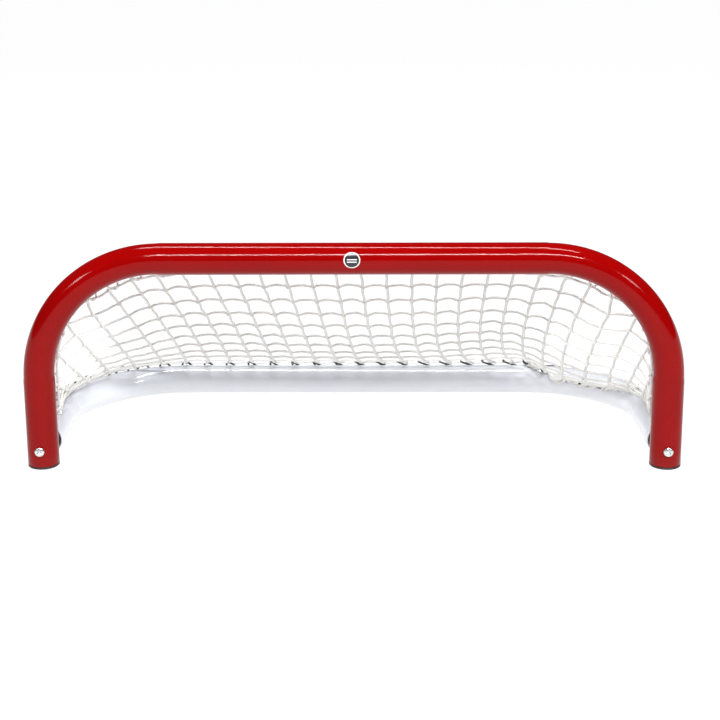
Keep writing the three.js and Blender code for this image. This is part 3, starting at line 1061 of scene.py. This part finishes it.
@dataclass
class FrameBolt:
    """A zinc pan-head bolt through the post's foot, with a cross recess."""

    plan: GoalPlan
    finishes: Finishes
    side: Side
    dome: float = 0.55
    recess_length: float = 4.1 * MM
    recess_width: float = 0.95 * MM
    recess_depth: float = 2.1 * MM
    recess_turn: float = math.radians(28)
    shank: float = 3.97 * MM
    thread_share: float = 0.535 / 0.56
    tip_share: float = 0.75
    sides: int = 96
    rings: int = 30

    def build(self) -> None:
        """Builds the bolt: a domed head with its recess, and a plain shank."""
        name = f"{self.side.name.lower()}_frame_bolt"
        low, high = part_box(name)
        radius = (high.z - low.z) / 2
        centre = np.array([(low.x + high.x) / 2, 0.0, (low.z + high.z) / 2])
        face_y, seat_y = low.y, self.plan.post_y - self.plan.radius
        tall = seat_y - face_y
        rings = np.linspace(0.0, 1.0, self.rings)[1:]
        turn = np.linspace(0, 2 * math.pi, self.sides, endpoint=False)
        points = [centre + [0, face_y + self.cross(0.0, 0.0), 0]]
        for share in rings:
            x, z = share * radius * np.cos(turn), share * radius * np.sin(turn)
            crown = tall * self.dome * (1 - math.sqrt(max(1 - share ** 2.6, 0.0)))
            for u, v in zip(x, z):
                points.append(centre + [u, face_y + crown + self.cross(u, v), v])
        under, thread = seat_y + 0.6 * MM, self.shank * self.thread_share
        outline = [(radius, under), (self.shank, under), (thread, seat_y + 2 * MM), (thread, high.y - MM),
                   (self.shank * self.tip_share, high.y)]
        for size, place in outline:
            points += [centre + [size * c, place, size * s] for c, s in zip(np.cos(turn), np.sin(turn))]
        count = len(rings) + len(outline)
        faces = [(0, 1 + (j + 1) % self.sides, 1 + j) for j in range(self.sides)]
        faces += grid_faces(count, self.sides, 1)
        last = 1 + (count - 1) * self.sides
        faces.append(tuple(last + j for j in range(self.sides)))
        piece = new_piece(f"{name}_pan_head", points, faces)
        fix_normals(piece)
        finish_piece(piece, self.finishes.zinc, Slot.ZINC, name)

    def cross(self, x: float, z: float) -> float:
        """Args: x, z: a place on the head's face. Returns: how deep the cross recess is there."""
        turn = self.recess_turn * self.side.value
        u, v = x * math.cos(turn) - z * math.sin(turn), x * math.sin(turn) + z * math.cos(turn)
        depth = 0.0
        for long, short in ((abs(u), abs(v)), (abs(v), abs(u))):
            inside = 1 - smooth_step((short - 0.7 * self.recess_width) / (0.4 * self.recess_width))
            depth = max(depth, float(inside * np.clip(1 - long / self.recess_length, 0, 1)))
        return self.recess_depth * min(1.0, 1.5 * depth)


@dataclass
class LacingRail:
    """A thin rod that the net is laced to, held off its tube by welded standoffs."""

    name: str
    axis: Route
    line: Route
    finish: Any
    slot: Slot
    plan: GoalPlan
    radius: float = 2.5 * MM
    post_radius: float = 2.2 * MM
    bead: float = 1.5 * MM
    sink: float = 0.2 * MM
    gauge_at: float = 300 * MM

    def build(self) -> None:
        """Builds the rod and its standoffs."""
        source = loose_lines("rail_line", [self.line.points])
        values = {"Radius": self.radius, "Sides": 20, "Step": 5 * MM, "Finish": self.finish}
        rod = grow(f"{self.name}_rod", source, rod_tree, values)
        finish_piece(rod, None, self.slot, f"{self.name}_lacing_rail")
        nodes = sorted(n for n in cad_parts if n.startswith(f"{self.name}_standoff"))
        feet, facing = [], []
        for node in nodes:
            low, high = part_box(node)
            middle = np.array((low + high) / 2)
            foot = self.nearest(middle)
            way = unit(middle - foot)
            feet.append(foot + way * (self.plan.radius - self.sink))
            facing.append(way)
        gauge = self.line.at(self.gauge_at)
        gap = float(np.linalg.norm(gauge - self.nearest(gauge))) - self.plan.radius
        values = {"Radius": self.post_radius, "Height": gap - self.radius * 0.5, "Bead": self.bead,
                  "Finish": self.finish}
        source = marked_points("posts", np.array(feet), np.array(facing))
        posts = grow(f"{self.name}_welded_standoffs", source, standoff_tree, values)
        finish_piece(posts, None, self.slot, *nodes)

    def nearest(self, point: np.ndarray) -> np.ndarray:
        """Args: point: a place. Returns: the nearest point of the tube's axis."""
        near = self.axis.at(np.linspace(0, self.axis.length, 4000))
        return near[np.argmin(np.linalg.norm(near - point, axis=1))]


# ---------------------------------------------------------------- the net


def along_tube(base: Route, marks: np.ndarray, reach: float, angle: np.ndarray) -> np.ndarray:
    """Points that stand off the base tube's axis at an angle.

    Args:
        base: the base tube's axis.
        marks: distances along it.
        reach: how far from the axis the points are.
        angle: each point's angle, from level outwards over the top.

    Returns:
        The points.
    """
    heading = base.heading(marks)
    outward = unit(np.cross(UP, heading))
    return base.at(marks) + reach * (np.cos(angle)[:, None] * outward + np.sin(angle)[:, None] * UP)


def beside_arch(arch: Route, marks: np.ndarray, inset: np.ndarray, back: np.ndarray) -> np.ndarray:
    """Points inside and behind the arch's axis.

    Args:
        arch: the arch's axis.
        marks: distances along it.
        inset: how far inside the axis each point is.
        back: how far behind it.

    Returns:
        The points.
    """
    inward = unit(np.cross(BACK, arch.heading(marks)))
    points = arch.at(marks) + inward * inset[:, None]
    points[:, 1] += back
    return points


@dataclass
class NetLines:
    """Where the net's edges run: the border behind the arch and the hem on the base tube."""

    plan: GoalPlan
    rail_offset: float = 32.15 * MM
    arch_angle: float = math.radians(25)
    lace_length: float = 17 * MM
    lace_slope: float = math.radians(66)
    rail_angle: float = math.radians(20)
    hem_angle: float = math.radians(56)
    hem_clearance: float = 6.5 * MM
    pulled_angle: float = math.radians(158)
    pull_before: float = 45 * MM
    pull_length: float = 130 * MM
    let_go: float = 0.62
    let_go_before: float = 240 * MM
    let_go_length: float = 170 * MM
    end: float = 70 * MM
    tucked_inset: float = 19.5 * MM
    tucked_back: float = 38 * MM
    tuck_start: float = 405 * MM
    tuck_length: float = 70 * MM
    droop: float = 6 * MM
    droop_start: float = 235 * MM
    droop_length: float = 70 * MM

    def __post_init__(self) -> None:
        """Works out the four lines."""
        inset = self.rail_offset * math.sin(self.arch_angle)
        back = self.rail_offset * math.cos(self.arch_angle)
        self.arch_axis = self.plan.arch()[0]
        self.arch_rail = self.plan.arch(inset, back, self.end)[0]
        inset += self.lace_length * math.sin(self.lace_slope)
        back += self.lace_length * math.cos(self.lace_slope)
        marks = np.linspace(self.end, self.arch_axis.length - self.end, 900)
        from_middle = np.abs(marks - self.arch_axis.length / 2)
        tuck = smooth_step((from_middle - self.tuck_start) / self.tuck_length)
        droop = self.droop * smooth_step((from_middle - self.droop_start) / self.droop_length)
        self.border = Route(beside_arch(self.arch_axis, marks,
                                        inset + droop + (self.tucked_inset - inset - droop) * tuck,
                                        back + (self.tucked_back - back) * tuck))
        self.base_axis, bends = self.plan.base()
        base = self.plan.base(front=self.plan.post_y + self.end)[0]
        marks = np.linspace(0, base.length, 700)
        level = np.full(len(marks), self.rail_angle)
        self.base_rail = Route(along_tube(base, marks, self.rail_offset, level))
        turn_start = bends[1][0] - (self.base_axis.length - base.length) / 2
        pulled = smooth_step((marks - turn_start + self.pull_before) / self.pull_length)
        released = smooth_step((marks - base.length + self.let_go_before) / self.let_go_length)
        pulled *= 1 - self.let_go * released
        angle = self.hem_angle + (self.pulled_angle - self.hem_angle) * pulled
        self.hem = Route(along_tube(base, marks, self.plan.radius + self.hem_clearance, angle))


@dataclass
class NetShape:
    """Hangs a square-mesh net, cut slantwise down the posts, as knots that cords hold together."""

    lines: NetLines
    mesh: float = 41.4 * MM
    front_pitch: float = 39.2 * MM
    edge_pitch: float = 52 * MM
    rear_pitch: float = 39.2 * MM
    side_pitch: float = 60 * MM
    gathered: float = 11.3
    full: float = 10.9
    left_skew: float = 38 * MM
    right_skew: float = 15 * MM
    skew_start: float = 5.0
    skew_length: float = 4.0
    shift: float = 0.31
    first: int = -15
    last: int = 14
    rows: int = 10
    ease: float = 1.012
    least_gap: float = 0.75
    row_slack: float = 1.14
    powers: tuple[float, ...] = (3.0, 2.0, 1.5, 1.0, 0.7, 0.45, 0.25, 0.1, 0.0)
    most_squeeze: float = 0.8
    end_gap: float = 2 * MM
    rear_band: float = 30 * MM
    rounds: int = 300
    passes: int = 10
    push_every: int = 4
    momentum: float = 0.9
    axis_steps: int = 420
    fall: float = 0.15 * MM
    draw: float = 0.85
    half_width: float = 350 * MM
    stiff: float = 0.003
    clearance: float = 3.0 * MM

    def __post_init__(self) -> None:
        """Ties the net's edges and lets the rest settle."""
        column = np.arange(self.first, self.last + 1) + self.shift
        size, way = np.abs(column), np.sign(column)
        border, hem = self.lines.border, self.lines.hem
        self.top_row = np.clip(np.ceil(size - self.full), 0, self.rows).astype(int)
        edge = np.where(way < 0, size[self.top_row == 0].max(), column[self.top_row == 0].max())
        front = border.length / 2 + way * (np.minimum(size, edge) * self.front_pitch
                                           + self.top_row * self.edge_pitch)
        front = np.clip(front, self.end_gap, border.length - self.end_gap)
        beyond = np.maximum(size - self.gathered, 0)
        reach = way * (np.minimum(size, self.gathered) * self.rear_pitch + beyond * self.side_pitch)
        reach += self.left_skew + (self.right_skew - self.left_skew) * smooth_step(
            (column - self.skew_start) / self.skew_length)
        rear_part = np.flatnonzero(hem.points[:, 1] > hem.points[:, 1].max() - self.rear_band)
        middle = np.interp(self.lines.plan.middle, hem.points[rear_part, 0], hem.along[rear_part])
        rear = np.clip(middle + reach, self.end_gap, hem.length - self.end_gap)
        self.top, self.bottom = border.at(front), hem.at(rear)
        self.front_marks = front
        self.down = self.cell_lengths()
        self.knots = self.hang()

    def cell_lengths(self) -> np.ndarray:
        """Returns: each cell's side, by column and row: whole meshes above and gathered ones below."""
        spans = np.linalg.norm(self.top - self.bottom, axis=1) * self.ease
        lengths = np.zeros((len(spans), self.rows))
        for j, span in enumerate(spans):
            count = self.rows - self.top_row[j]
            place = (np.arange(count) + 0.5) / count
            for power in self.powers:
                weight = place ** power
                squeeze = (count - span / self.mesh) / weight.sum()
                if squeeze < self.most_squeeze:
                    break
            lengths[j, self.top_row[j]:] = self.mesh * (1 - squeeze * weight)
        return lengths

    def hang(self) -> np.ndarray:
        """Returns: every knot's place, by column and row, after the net has settled."""
        tall = self.rows + 1
        row = np.arange(tall)[None, :]
        below = np.concatenate([np.zeros((len(self.top), 1)), np.cumsum(self.down, axis=1)], axis=1)
        share = (below / below[:, -1:])[..., None]
        place = self.top[:, None] * (1 - share) + self.bottom[:, None] * share
        held = (row <= self.top_row[:, None]) | (row >= self.rows)
        fixed = place.copy()
        last = place.copy()
        axes = [route.at(np.linspace(0, route.length, self.axis_steps))
                for route in (self.lines.base_axis, self.lines.arch_axis)]
        for turn in range(self.rounds):
            speed = (place - last) * self.momentum
            last = place.copy()
            place = place + speed
            place[..., 2] -= self.fall
            place[..., 0] -= self.fall * self.draw * np.clip(place[..., 0] / self.half_width, -1, 1)
            for _ in range(self.passes):
                self.tighten(place, held, 0)
                self.tighten(place, held, 1)
                place[held] = fixed[held]
            self.relax(place, held)
            if turn % self.push_every == self.push_every - 1:
                for axis in axes:
                    self.push_out(place, axis)
            place[held] = fixed[held]
        return place

    def tighten(self, place: np.ndarray, held: np.ndarray, way: int) -> None:
        """Keeps neighbouring knots within a mesh of each other and not too close.

        Args:
            place: the knots, which are moved.
            held: which knots are tied.
            way: 0 for neighbours across, 1 for neighbours down.
        """
        size = place.shape[way]
        for odd in (0, 1):
            first = [slice(None), slice(None)]
            second = [slice(None), slice(None)]
            first[way] = slice(odd, size - 1, 2)
            second[way] = slice(odd + 1, size, 2)
            a, b = tuple(first), tuple(second)
            gap = place[b] - place[a]
            length = np.linalg.norm(gap, axis=-1, keepdims=True)
            across = np.full_like(length, self.row_slack * self.mesh)
            most = self.down[:, odd::2][..., None] if way else across
            wanted = np.clip(length, most * self.least_gap, most)
            both = (held[a] & held[b])[..., None]
            wanted = np.where(both, length, wanted)
            move = gap * (1 - wanted / np.maximum(length, 1e-9))
            free_a, free_b = ~held[a][..., None], ~held[b][..., None]
            total = np.maximum(free_a.astype(float) + free_b, 1.0)
            place[a] += move * free_a / total
            place[b] -= move * free_b / total

    def relax(self, place: np.ndarray, held: np.ndarray) -> None:
        """Lets the cords' stiffness even out the net a little.

        Args:
            place: the knots, which are moved.
            held: which knots are tied.
        """
        mean = (place[:-2, 1:-1] + place[2:, 1:-1] + place[1:-1, :-2] + place[1:-1, 2:]) / 4
        free = ~held[1:-1, 1:-1][..., None]
        place[1:-1, 1:-1] += self.stiff * (mean - place[1:-1, 1:-1]) * free

    def push_out(self, place: np.ndarray, line: np.ndarray) -> None:
        """Moves knots out of a tube.

        Args:
            place: the knots, which are moved.
            line: points along the tube's axis.
        """
        flat = place.reshape(-1, 3)
        gaps = np.linalg.norm(flat[:, None] - line[None], axis=2)
        nearest = gaps.argmin(axis=1)
        gap = gaps[np.arange(len(flat)), nearest]
        least = self.lines.plan.radius + self.clearance
        inside = np.flatnonzero(gap < least)
        away = unit(flat[inside] - line[nearest[inside]])
        flat[inside] = line[nearest[inside]] + away * least


@dataclass
class CordNet:
    """The net itself: its cords, its knots, its border, and the lacing that holds it to the two rails."""

    lines: NetLines
    shape: NetShape
    finishes: Finishes
    cord: float = 2.1 * MM
    border: float = 2.1 * MM
    lace: float = 1.7 * MM
    lay: float = 13 * MM
    depth: float = 0.17
    step: float = 1.45 * MM
    bow_share: float = 0.9
    bow_lift: float = 12 * MM
    bow_length: float = 0.985
    most_rise: float = 9 * MM
    wander: float = 0.5 * MM
    long_wave: float = 55 * MM
    short_wave: float = 23 * MM
    end_gap: float = 2 * MM
    border_dip: float = 1.6 * MM
    strands: int = 4
    right_gather: float = 0.36
    left_gather: float = 0.62
    gather_fade: float = 0.2
    twist: float = 38 * MM
    twist_step: float = 7 * MM
    hem_reach: float = 0.4 * MM
    strand_reach: float = 1.9 * MM
    bunched_reach: float = 3.6 * MM
    lace_pitch: float = 40 * MM
    lace_phase: float = 0.5
    fine: int = 14
    seed: int = 11

    def build(self) -> None:
        """Builds every cord of the net."""
        self.random = np.random.default_rng(self.seed)
        net = self.laid("netting_row_cords", self.row_cords(), self.cord)
        finish_piece(net, None, Slot.CORD, "netting")
        net = self.laid("netting_column_cords", self.column_cords(), self.cord)
        finish_piece(net, None, Slot.CORD, "netting")
        self.knots()
        border = self.laid("border_cord_behind_arch", [self.border_line()], self.border)
        finish_piece(border, None, Slot.CORD, "front_border_cord")
        hem = self.laid("hem_cord_on_base", self.hem_cords(), self.border)
        finish_piece(hem, None, Slot.CORD, "base_border_cord")
        route = self.lacing(self.lines.arch_rail, self.lines.border)
        lace = self.laid("lace_behind_arch", [route], self.lace)
        finish_piece(lace, None, Slot.CORD, "front_lace")
        route = self.lacing(self.lines.base_rail, self.lines.hem)
        # The base lace takes the near-black colour, which darkens the marks along the top of the base tube.
        lace = self.laid("lace_on_base", [route], self.lace, self.finishes.lace_dark)
        finish_piece(lace, None, Slot.CORD, "base_lace")

    def laid(self, name: str, lines: list[np.ndarray], radius: float,
             finish: bpy.types.Material | None = None) -> bpy.types.Object:
        """Lays three-strand cord along lines.

        Args:
            name: the new object's name.
            lines: each cord's line.
            radius: the cord's radius.
            finish: the cord's finish, if it isn't the net's own.

        Returns:
            The cords, as one mesh.
        """
        values = {"Radius": radius, "Lay": self.lay, "Strand Depth": self.depth, "Step": self.step,
                  "Finish": finish or self.finishes.cord}
        length = sum(Route(line).length for line in lines)
        log.info("%s is %.2f m of cord", name, length)
        return grow(name, loose_lines("cord_lines", lines), cord_tree, values)

    def wandered(self, line: np.ndarray) -> np.ndarray:
        """Args: line: a cord's line. Returns: it with the slight waves of a cord that was once folded."""
        along = Route(line).along
        moved = line.copy()
        for wave in (self.long_wave, self.short_wave):
            phase = self.random.uniform(0, 2 * math.pi, 3)
            size = self.wander * wave / self.long_wave
            moved += size * np.sin(2 * math.pi * along[:, None] / wave + phase)
        fade = np.minimum(along, along[-1] - along)[:, None] / (8 * MM)
        return line + (moved - line) * np.clip(fade, 0, 1)

    def row_cords(self) -> list[np.ndarray]:
        """Returns: the cords that run side to side, bowed where they have length to spare."""
        shape, cords = self.shape, []
        for i in range(1, shape.rows):
            columns = np.flatnonzero(shape.top_row <= i)
            points = []
            for j in columns[:-1]:
                start, end = shape.knots[j, i], shape.knots[j + 1, i]
                above = shape.knots[j, i - 1] + shape.knots[j + 1, i - 1] - start - end
                lift = unit(above + UP * self.bow_lift)
                shares = np.linspace(0, 1, self.fine, endpoint=False)
                points += [self.bowed(start, end, lift, t) for t in shares]
            points.append(shape.knots[columns[-1], i])
            cords.append(np.array(points))
        return [self.wandered(cord) for cord in cords]

    def bowed(self, start: np.ndarray, end: np.ndarray, way: np.ndarray, t: float) -> np.ndarray:
        """A point on a cord between two knots.

        Args:
            start: the first knot.
            end: the second knot.
            way: the way the cord bows.
            t: the share of the distance.

        Returns:
            The point.
        """
        chord = float(np.linalg.norm(end - start))
        length = self.shape.mesh * self.bow_length
        spare = math.sqrt(max(0.375 * length * (length - chord), 0.0))
        rise = min(self.bow_share * spare, self.most_rise) * 4 * t * (1 - t)
        return start * (1 - t) + end * t + way * rise

    def column_cords(self) -> list[np.ndarray]:
        """Returns: the cords that run from the arch to the base, smooth through their knots."""
        cords = []
        for j, top in enumerate(self.shape.top_row):
            cords.append(self.wandered(self.through(self.shape.knots[j, top:])))
        return cords

    def through(self, knots: np.ndarray) -> np.ndarray:
        """Args: knots: places in order. Returns: a smooth line through them."""
        padded = np.concatenate([[2 * knots[0] - knots[1]], knots, [2 * knots[-1] - knots[-2]]])
        points = []
        for a, b, c, d in zip(padded, padded[1:], padded[2:], padded[3:]):
            for t in np.linspace(0, 1, self.fine, endpoint=False):
                points.append(0.5 * (2 * b + (c - a) * t + (2 * a - 5 * b + 4 * c - d) * t ** 2
                                     + (3 * b - a - 3 * c + d) * t ** 3))
        points.append(knots[-1])
        return np.array(points)

    def knots(self) -> None:
        """Builds the wraps of cord at the crossings."""
        places, facing = [], []
        for j, top in enumerate(self.shape.top_row):
            for i in range(top, self.shape.rows + 1):
                place = self.shape.knots[j, i]
                other = self.shape.knots[j, i + 1] if i < self.shape.rows else self.shape.knots[j, i - 1]
                places.append(place)
                facing.append(unit(other - place))
        source = marked_points("crossings", np.array(places), np.array(facing))
        values = {"Cord": self.cord, "Seed": self.seed, "Finish": self.finishes.cord}
        finish_piece(grow("netting_knots", source, knot_tree, values), None, Slot.CORD, "netting")

    def border_line(self) -> np.ndarray:
        """Returns: the border cord's line, dipping a little between its ties."""
        border = self.lines.border
        marks = np.linspace(self.end_gap, border.length - self.end_gap, 1100)
        share = np.interp(marks, self.shape.front_marks, np.arange(len(self.shape.front_marks)))
        dip = self.border_dip * np.sin(math.pi * (share % 1.0)) ** 2
        points = border.at(marks)
        points[:, 2] -= dip
        return points

    def hem_cords(self) -> list[np.ndarray]:
        """Returns: the hem cord, and the gathered cords twisted round it towards each arm."""
        hem = self.lines.hem
        marks = np.linspace(self.end_gap, hem.length - self.end_gap, 1500)
        heading = hem.heading(marks)
        side = unit(np.cross(heading, UP))
        rise = unit(np.cross(side, heading))
        share = np.clip((marks / hem.length - 0.5) * 2, -1, 1)
        most_spare = self.strands - 1
        spare = most_spare * smooth_step((share - self.right_gather) / self.gather_fade)
        spare += smooth_step((-share - self.left_gather) / self.gather_fade)
        cords = []
        for k in range(self.strands):
            turn = 2 * math.pi * (marks / (self.twist + self.twist_step * k) + k / self.strands)
            reach = (self.hem_reach if k == 0 else self.strand_reach) * np.ones_like(marks)
            reach += self.bunched_reach * smooth_step(spare / most_spare) * (0.5 if k == 0 else 1.0)
            round_hem = np.cos(turn)[:, None] * side + np.sin(turn)[:, None] * rise
            line = hem.at(marks) + reach[:, None] * round_hem
            if k == 0:
                cords.append(line)
                continue
            wanted = spare > 0.8 * k
            for part in np.split(np.arange(len(marks)), np.flatnonzero(np.diff(wanted.astype(int))) + 1):
                if wanted[part[0]] and len(part) > 30:
                    cords.append(line[part])
        return [self.wandered(cord) for cord in cords]

    def lacing(self, rail: Route, edge: Route) -> np.ndarray:
        """The lace's line, which winds round a rail and the net's edge.

        Args:
            rail: the rail's line.
            edge: the edge's line.

        Returns:
            The line.
        """
        turns = round(rail.length / self.lace_pitch)
        share = np.linspace(0.004, 0.996, turns * 44)
        on_rail, on_edge = rail.at(share * rail.length), edge.at(share * edge.length)
        across = on_edge - on_rail
        half = np.linalg.norm(across, axis=1, keepdims=True) / 2
        square = unit(np.cross(rail.heading(share * rail.length), across))
        turn = 2 * math.pi * (share * turns + self.lace_phase)
        swing, sway = np.cos(turn), np.sin(turn)[:, None]
        long = half + np.where(swing > 0, 3.6, 4.3)[:, None] * MM
        wide = np.interp(swing, [-1.0, 1.0], [4.4 * MM, 3.8 * MM])[:, None]
        return ((on_rail + on_edge) / 2 + unit(across) * long * swing[:, None]
                + square * wide * np.sign(sway) * np.abs(sway) ** 0.7)


# ---------------------------------------------------------------- the mark on the crossbar


@dataclass
class CrossbarMark:
    """A plain printed roundel with two short stripes, on film round the front of the crossbar."""

    plan: GoalPlan
    finishes: Finishes
    thickness: float = 0.12 * MM
    turn: float = math.radians(8)
    ring_radius: float = 12.5 * MM
    disc_radius: float = 10.8 * MM
    stripe_length: float = 15 * MM
    stripe_height: float = 1.5 * MM
    stripe_low: float = 0.2 * MM
    stripe_pitch: float = 3.6 * MM

    def build(self) -> None:
        """Builds the ring, the disc on it and the stripes on the disc."""
        light, dark = self.finishes.film_light, self.finishes.film_dark
        self.patch("crossbar_roundel_ring", self.disc(self.ring_radius), 1.0, light, Slot.WHITE)
        self.patch("crossbar_roundel_disc", self.disc(self.disc_radius), 2.0, dark, Slot.PLASTIC)
        for k in range(2):
            stripe = self.bar(self.stripe_length, self.stripe_low - self.stripe_pitch * k, self.stripe_height)
            self.patch(f"crossbar_roundel_stripe_{k + 1}", stripe, 3.0, light, Slot.WHITE)

    def disc(self, radius: float) -> list[np.ndarray]:
        """Args: radius: the disc's radius. Returns: rings of flat points, from its middle out."""
        turn = np.linspace(0, 2 * math.pi, 72, endpoint=False)
        ring = np.stack([np.cos(turn), np.sin(turn)], axis=1)
        return [ring * radius * share for share in (0.02, 0.25, 0.5, 0.75, 0.94, 1.0)]

    def bar(self, width: float, low: float, tall: float) -> list[np.ndarray]:
        """Rings of flat points for a stripe with round ends.

        Args:
            width: its length.
            low: its lower edge, above the mark's middle.
            tall: its height.

        Returns:
            The rings, from its middle out.
        """
        turn = np.linspace(0, 2 * math.pi, 48, endpoint=False)
        long, short = (width - tall) / 2, tall / 2
        across, up = np.cos(turn), np.sin(turn)
        outline = np.stack([np.sign(across) * long + short * across, short * up], axis=1)
        middle = np.array([0.0, low + short])
        return [middle + outline * share for share in (0.05, 0.5, 0.94, 1.0)]

    def patch(self, name: str, rings: list[np.ndarray], layer: float, finish: Any, slot: Slot) -> None:
        """Lays a flat shape round the crossbar.

        Args:
            name: the piece's name.
            rings: the shape, as rings of flat points from the middle out.
            layer: how many films' thickness its face stands off the tube.
            finish: its material.
            slot: its slot; not used.
        """
        radius, points = self.plan.radius, []
        for ring, height in [(r, layer) for r in rings] + [(rings[-1], layer - 1.2)]:
            reach = radius + self.thickness * height
            turn = self.turn + ring[:, 1] / radius
            points.append(np.stack([self.plan.middle + ring[:, 0], self.plan.post_y - reach * np.cos(turn),
                                    self.plan.bar_z + reach * np.sin(turn)], axis=1))
        sides = len(rings[0])
        faces = grid_faces(len(points), sides) + [tuple(range(sides))[::-1]]
        last = (len(points) - 1) * sides
        faces.append(tuple(last + j for j in range(sides)))
        piece = new_piece(name, np.concatenate(points), faces)
        fix_normals(piece)
        finish_piece(piece, finish, slot)


# ---------------------------------------------------------------- the studio


@dataclass
class Studio:
    """A pale glowing floor, two strip lights, two softboxes and the camera."""

    floor_size: float = 60.0
    sky: Colour = (0.93, 0.95, 1.0)
    sky_strength: float = 0.05
    floor_colour: Colour = (0.12, 0.12, 0.123)
    floor_glow: float = 0.97
    camera_place: tuple[float, float, float] = (0.045, -2.3935, 0.8879)
    pitch: float = math.radians(13.89)
    yaw: float = math.radians(-0.86)
    roll: float = math.radians(-0.31)
    lens: float = 76.3
    shift_down: float = 0.15
    middle: tuple[float, float, float] = (0.0, 0.0, 0.15)

    def build(self) -> None:
        """Sets up the floor, the lights and the camera."""
        self.floor()
        self.light("overhead_strip", (0.1, 0.2, 2.6), (0.0, 0.0, 0.0), (2.6, 0.16), 56.0)
        self.light("front_strip", (0.3, -2.6, 2.6), self.middle, (2.6, 0.14), 142.0)
        self.light("left_softbox", (-2.9, -2.2, 1.9), self.middle, (0.6, 0.6), 24.0)
        self.light("right_softbox", (2.9, -2.2, 1.9), self.middle, (0.6, 0.6), 22.0)
        world = bpy.data.worlds.new("studio")
        world.use_nodes = True
        back = world.node_tree.nodes["Background"]
        back.inputs["Color"].default_value = (*self.sky, 1.0)
        back.inputs["Strength"].default_value = self.sky_strength
        scene = bpy.context.scene
        scene.world = world
        scene.view_settings.view_transform = "Standard"
        scene.view_settings.look = "None"
        self.camera()

    def floor(self) -> None:
        """Lays the floor, which glows evenly under a slight unevenness of tone."""
        half = self.floor_size / 2
        corners = [(-half, -half, 0.0), (half, -half, 0.0), (half, half, 0.0), (-half, half, 0.0)]
        floor = new_piece("studio_floor", corners, [(0, 1, 2, 3)], smooth=False)
        material, graph, shader = new_material("pale_floor", self.floor_colour, {"Roughness": 0.6})
        place = graph.node("ShaderNodeTexCoord").outputs["Object"]
        tone = graph.noise(place, scale=1.5, detail=3.0, rough=0.6)
        pale = (*self.floor_colour, 1.0)
        paler = tuple(min(1.0, c * 1.03) for c in self.floor_colour) + (1.0,)
        graph.tree.links.new(graph.blend(tone, pale, paler), shader.inputs["Base Color"])
        shader.inputs["Emission Color"].default_value = (1.0, 1.0, 1.0, 1.0)
        shader.inputs["Emission Strength"].default_value = self.floor_glow
        floor.data.materials.append(material)

    def light(self, name: str, place: tuple[float, float, float], target: tuple[float, float, float],
              size: tuple[float, float], power: float) -> None:
        """Hangs a rectangular light.

        Args:
            name: the light's name.
            place: where it is.
            target: what it points at.
            size: its width and height.
            power: its power in watts.
        """
        data = bpy.data.lights.new(name, "AREA")
        data.shape = "RECTANGLE"
        data.size, data.size_y = size
        data.energy = power
        lamp = bpy.data.objects.new(name, data)
        lamp.location = place
        lamp.rotation_euler = (Vector(target) - Vector(place)).to_track_quat("-Z", "Y").to_euler()
        bpy.context.scene.collection.objects.link(lamp)

    def camera(self) -> None:
        """Places the camera in front of the goal, above it."""
        data = bpy.data.cameras.new("front_camera")
        data.lens = self.lens
        data.sensor_width = 36.0
        data.shift_y = -self.shift_down
        made = bpy.data.objects.new("front_camera", data)
        turn = Matrix.Rotation(-self.yaw, 4, "Z") @ Matrix.Rotation(math.pi / 2 - self.pitch, 4, "X")
        turn = turn @ Matrix.Rotation(self.roll, 4, "Z")
        made.matrix_world = Matrix.Translation(self.camera_place) @ turn
        bpy.context.scene.collection.objects.link(made)
        bpy.context.scene.camera = made


def main() -> None:
    """Builds the goal, piece by piece, and the studio round it."""
    logging.basicConfig(level=logging.INFO, format="%(name)s: %(message)s")
    Studio().build()
    plan = GoalPlan()
    finishes = Finishes()
    RedArch(plan, finishes).build()
    WhiteBase(plan, finishes).build()
    for side in Side:
        FrameBolt(plan, finishes, side).build()
    lines = NetLines(plan)
    LacingRail("front", lines.arch_axis, lines.arch_rail, finishes.red, Slot.RED, plan).build()
    LacingRail("base", lines.base_axis, lines.base_rail, finishes.white, Slot.WHITE, plan).build()
    shape = NetShape(lines)
    log.info("the net has %d columns and %d rows of meshes", len(shape.top_row), shape.rows)
    CordNet(lines, shape, finishes).build()
    CrossbarMark(plan, finishes).build()


if __name__ == "__main__":
    main()
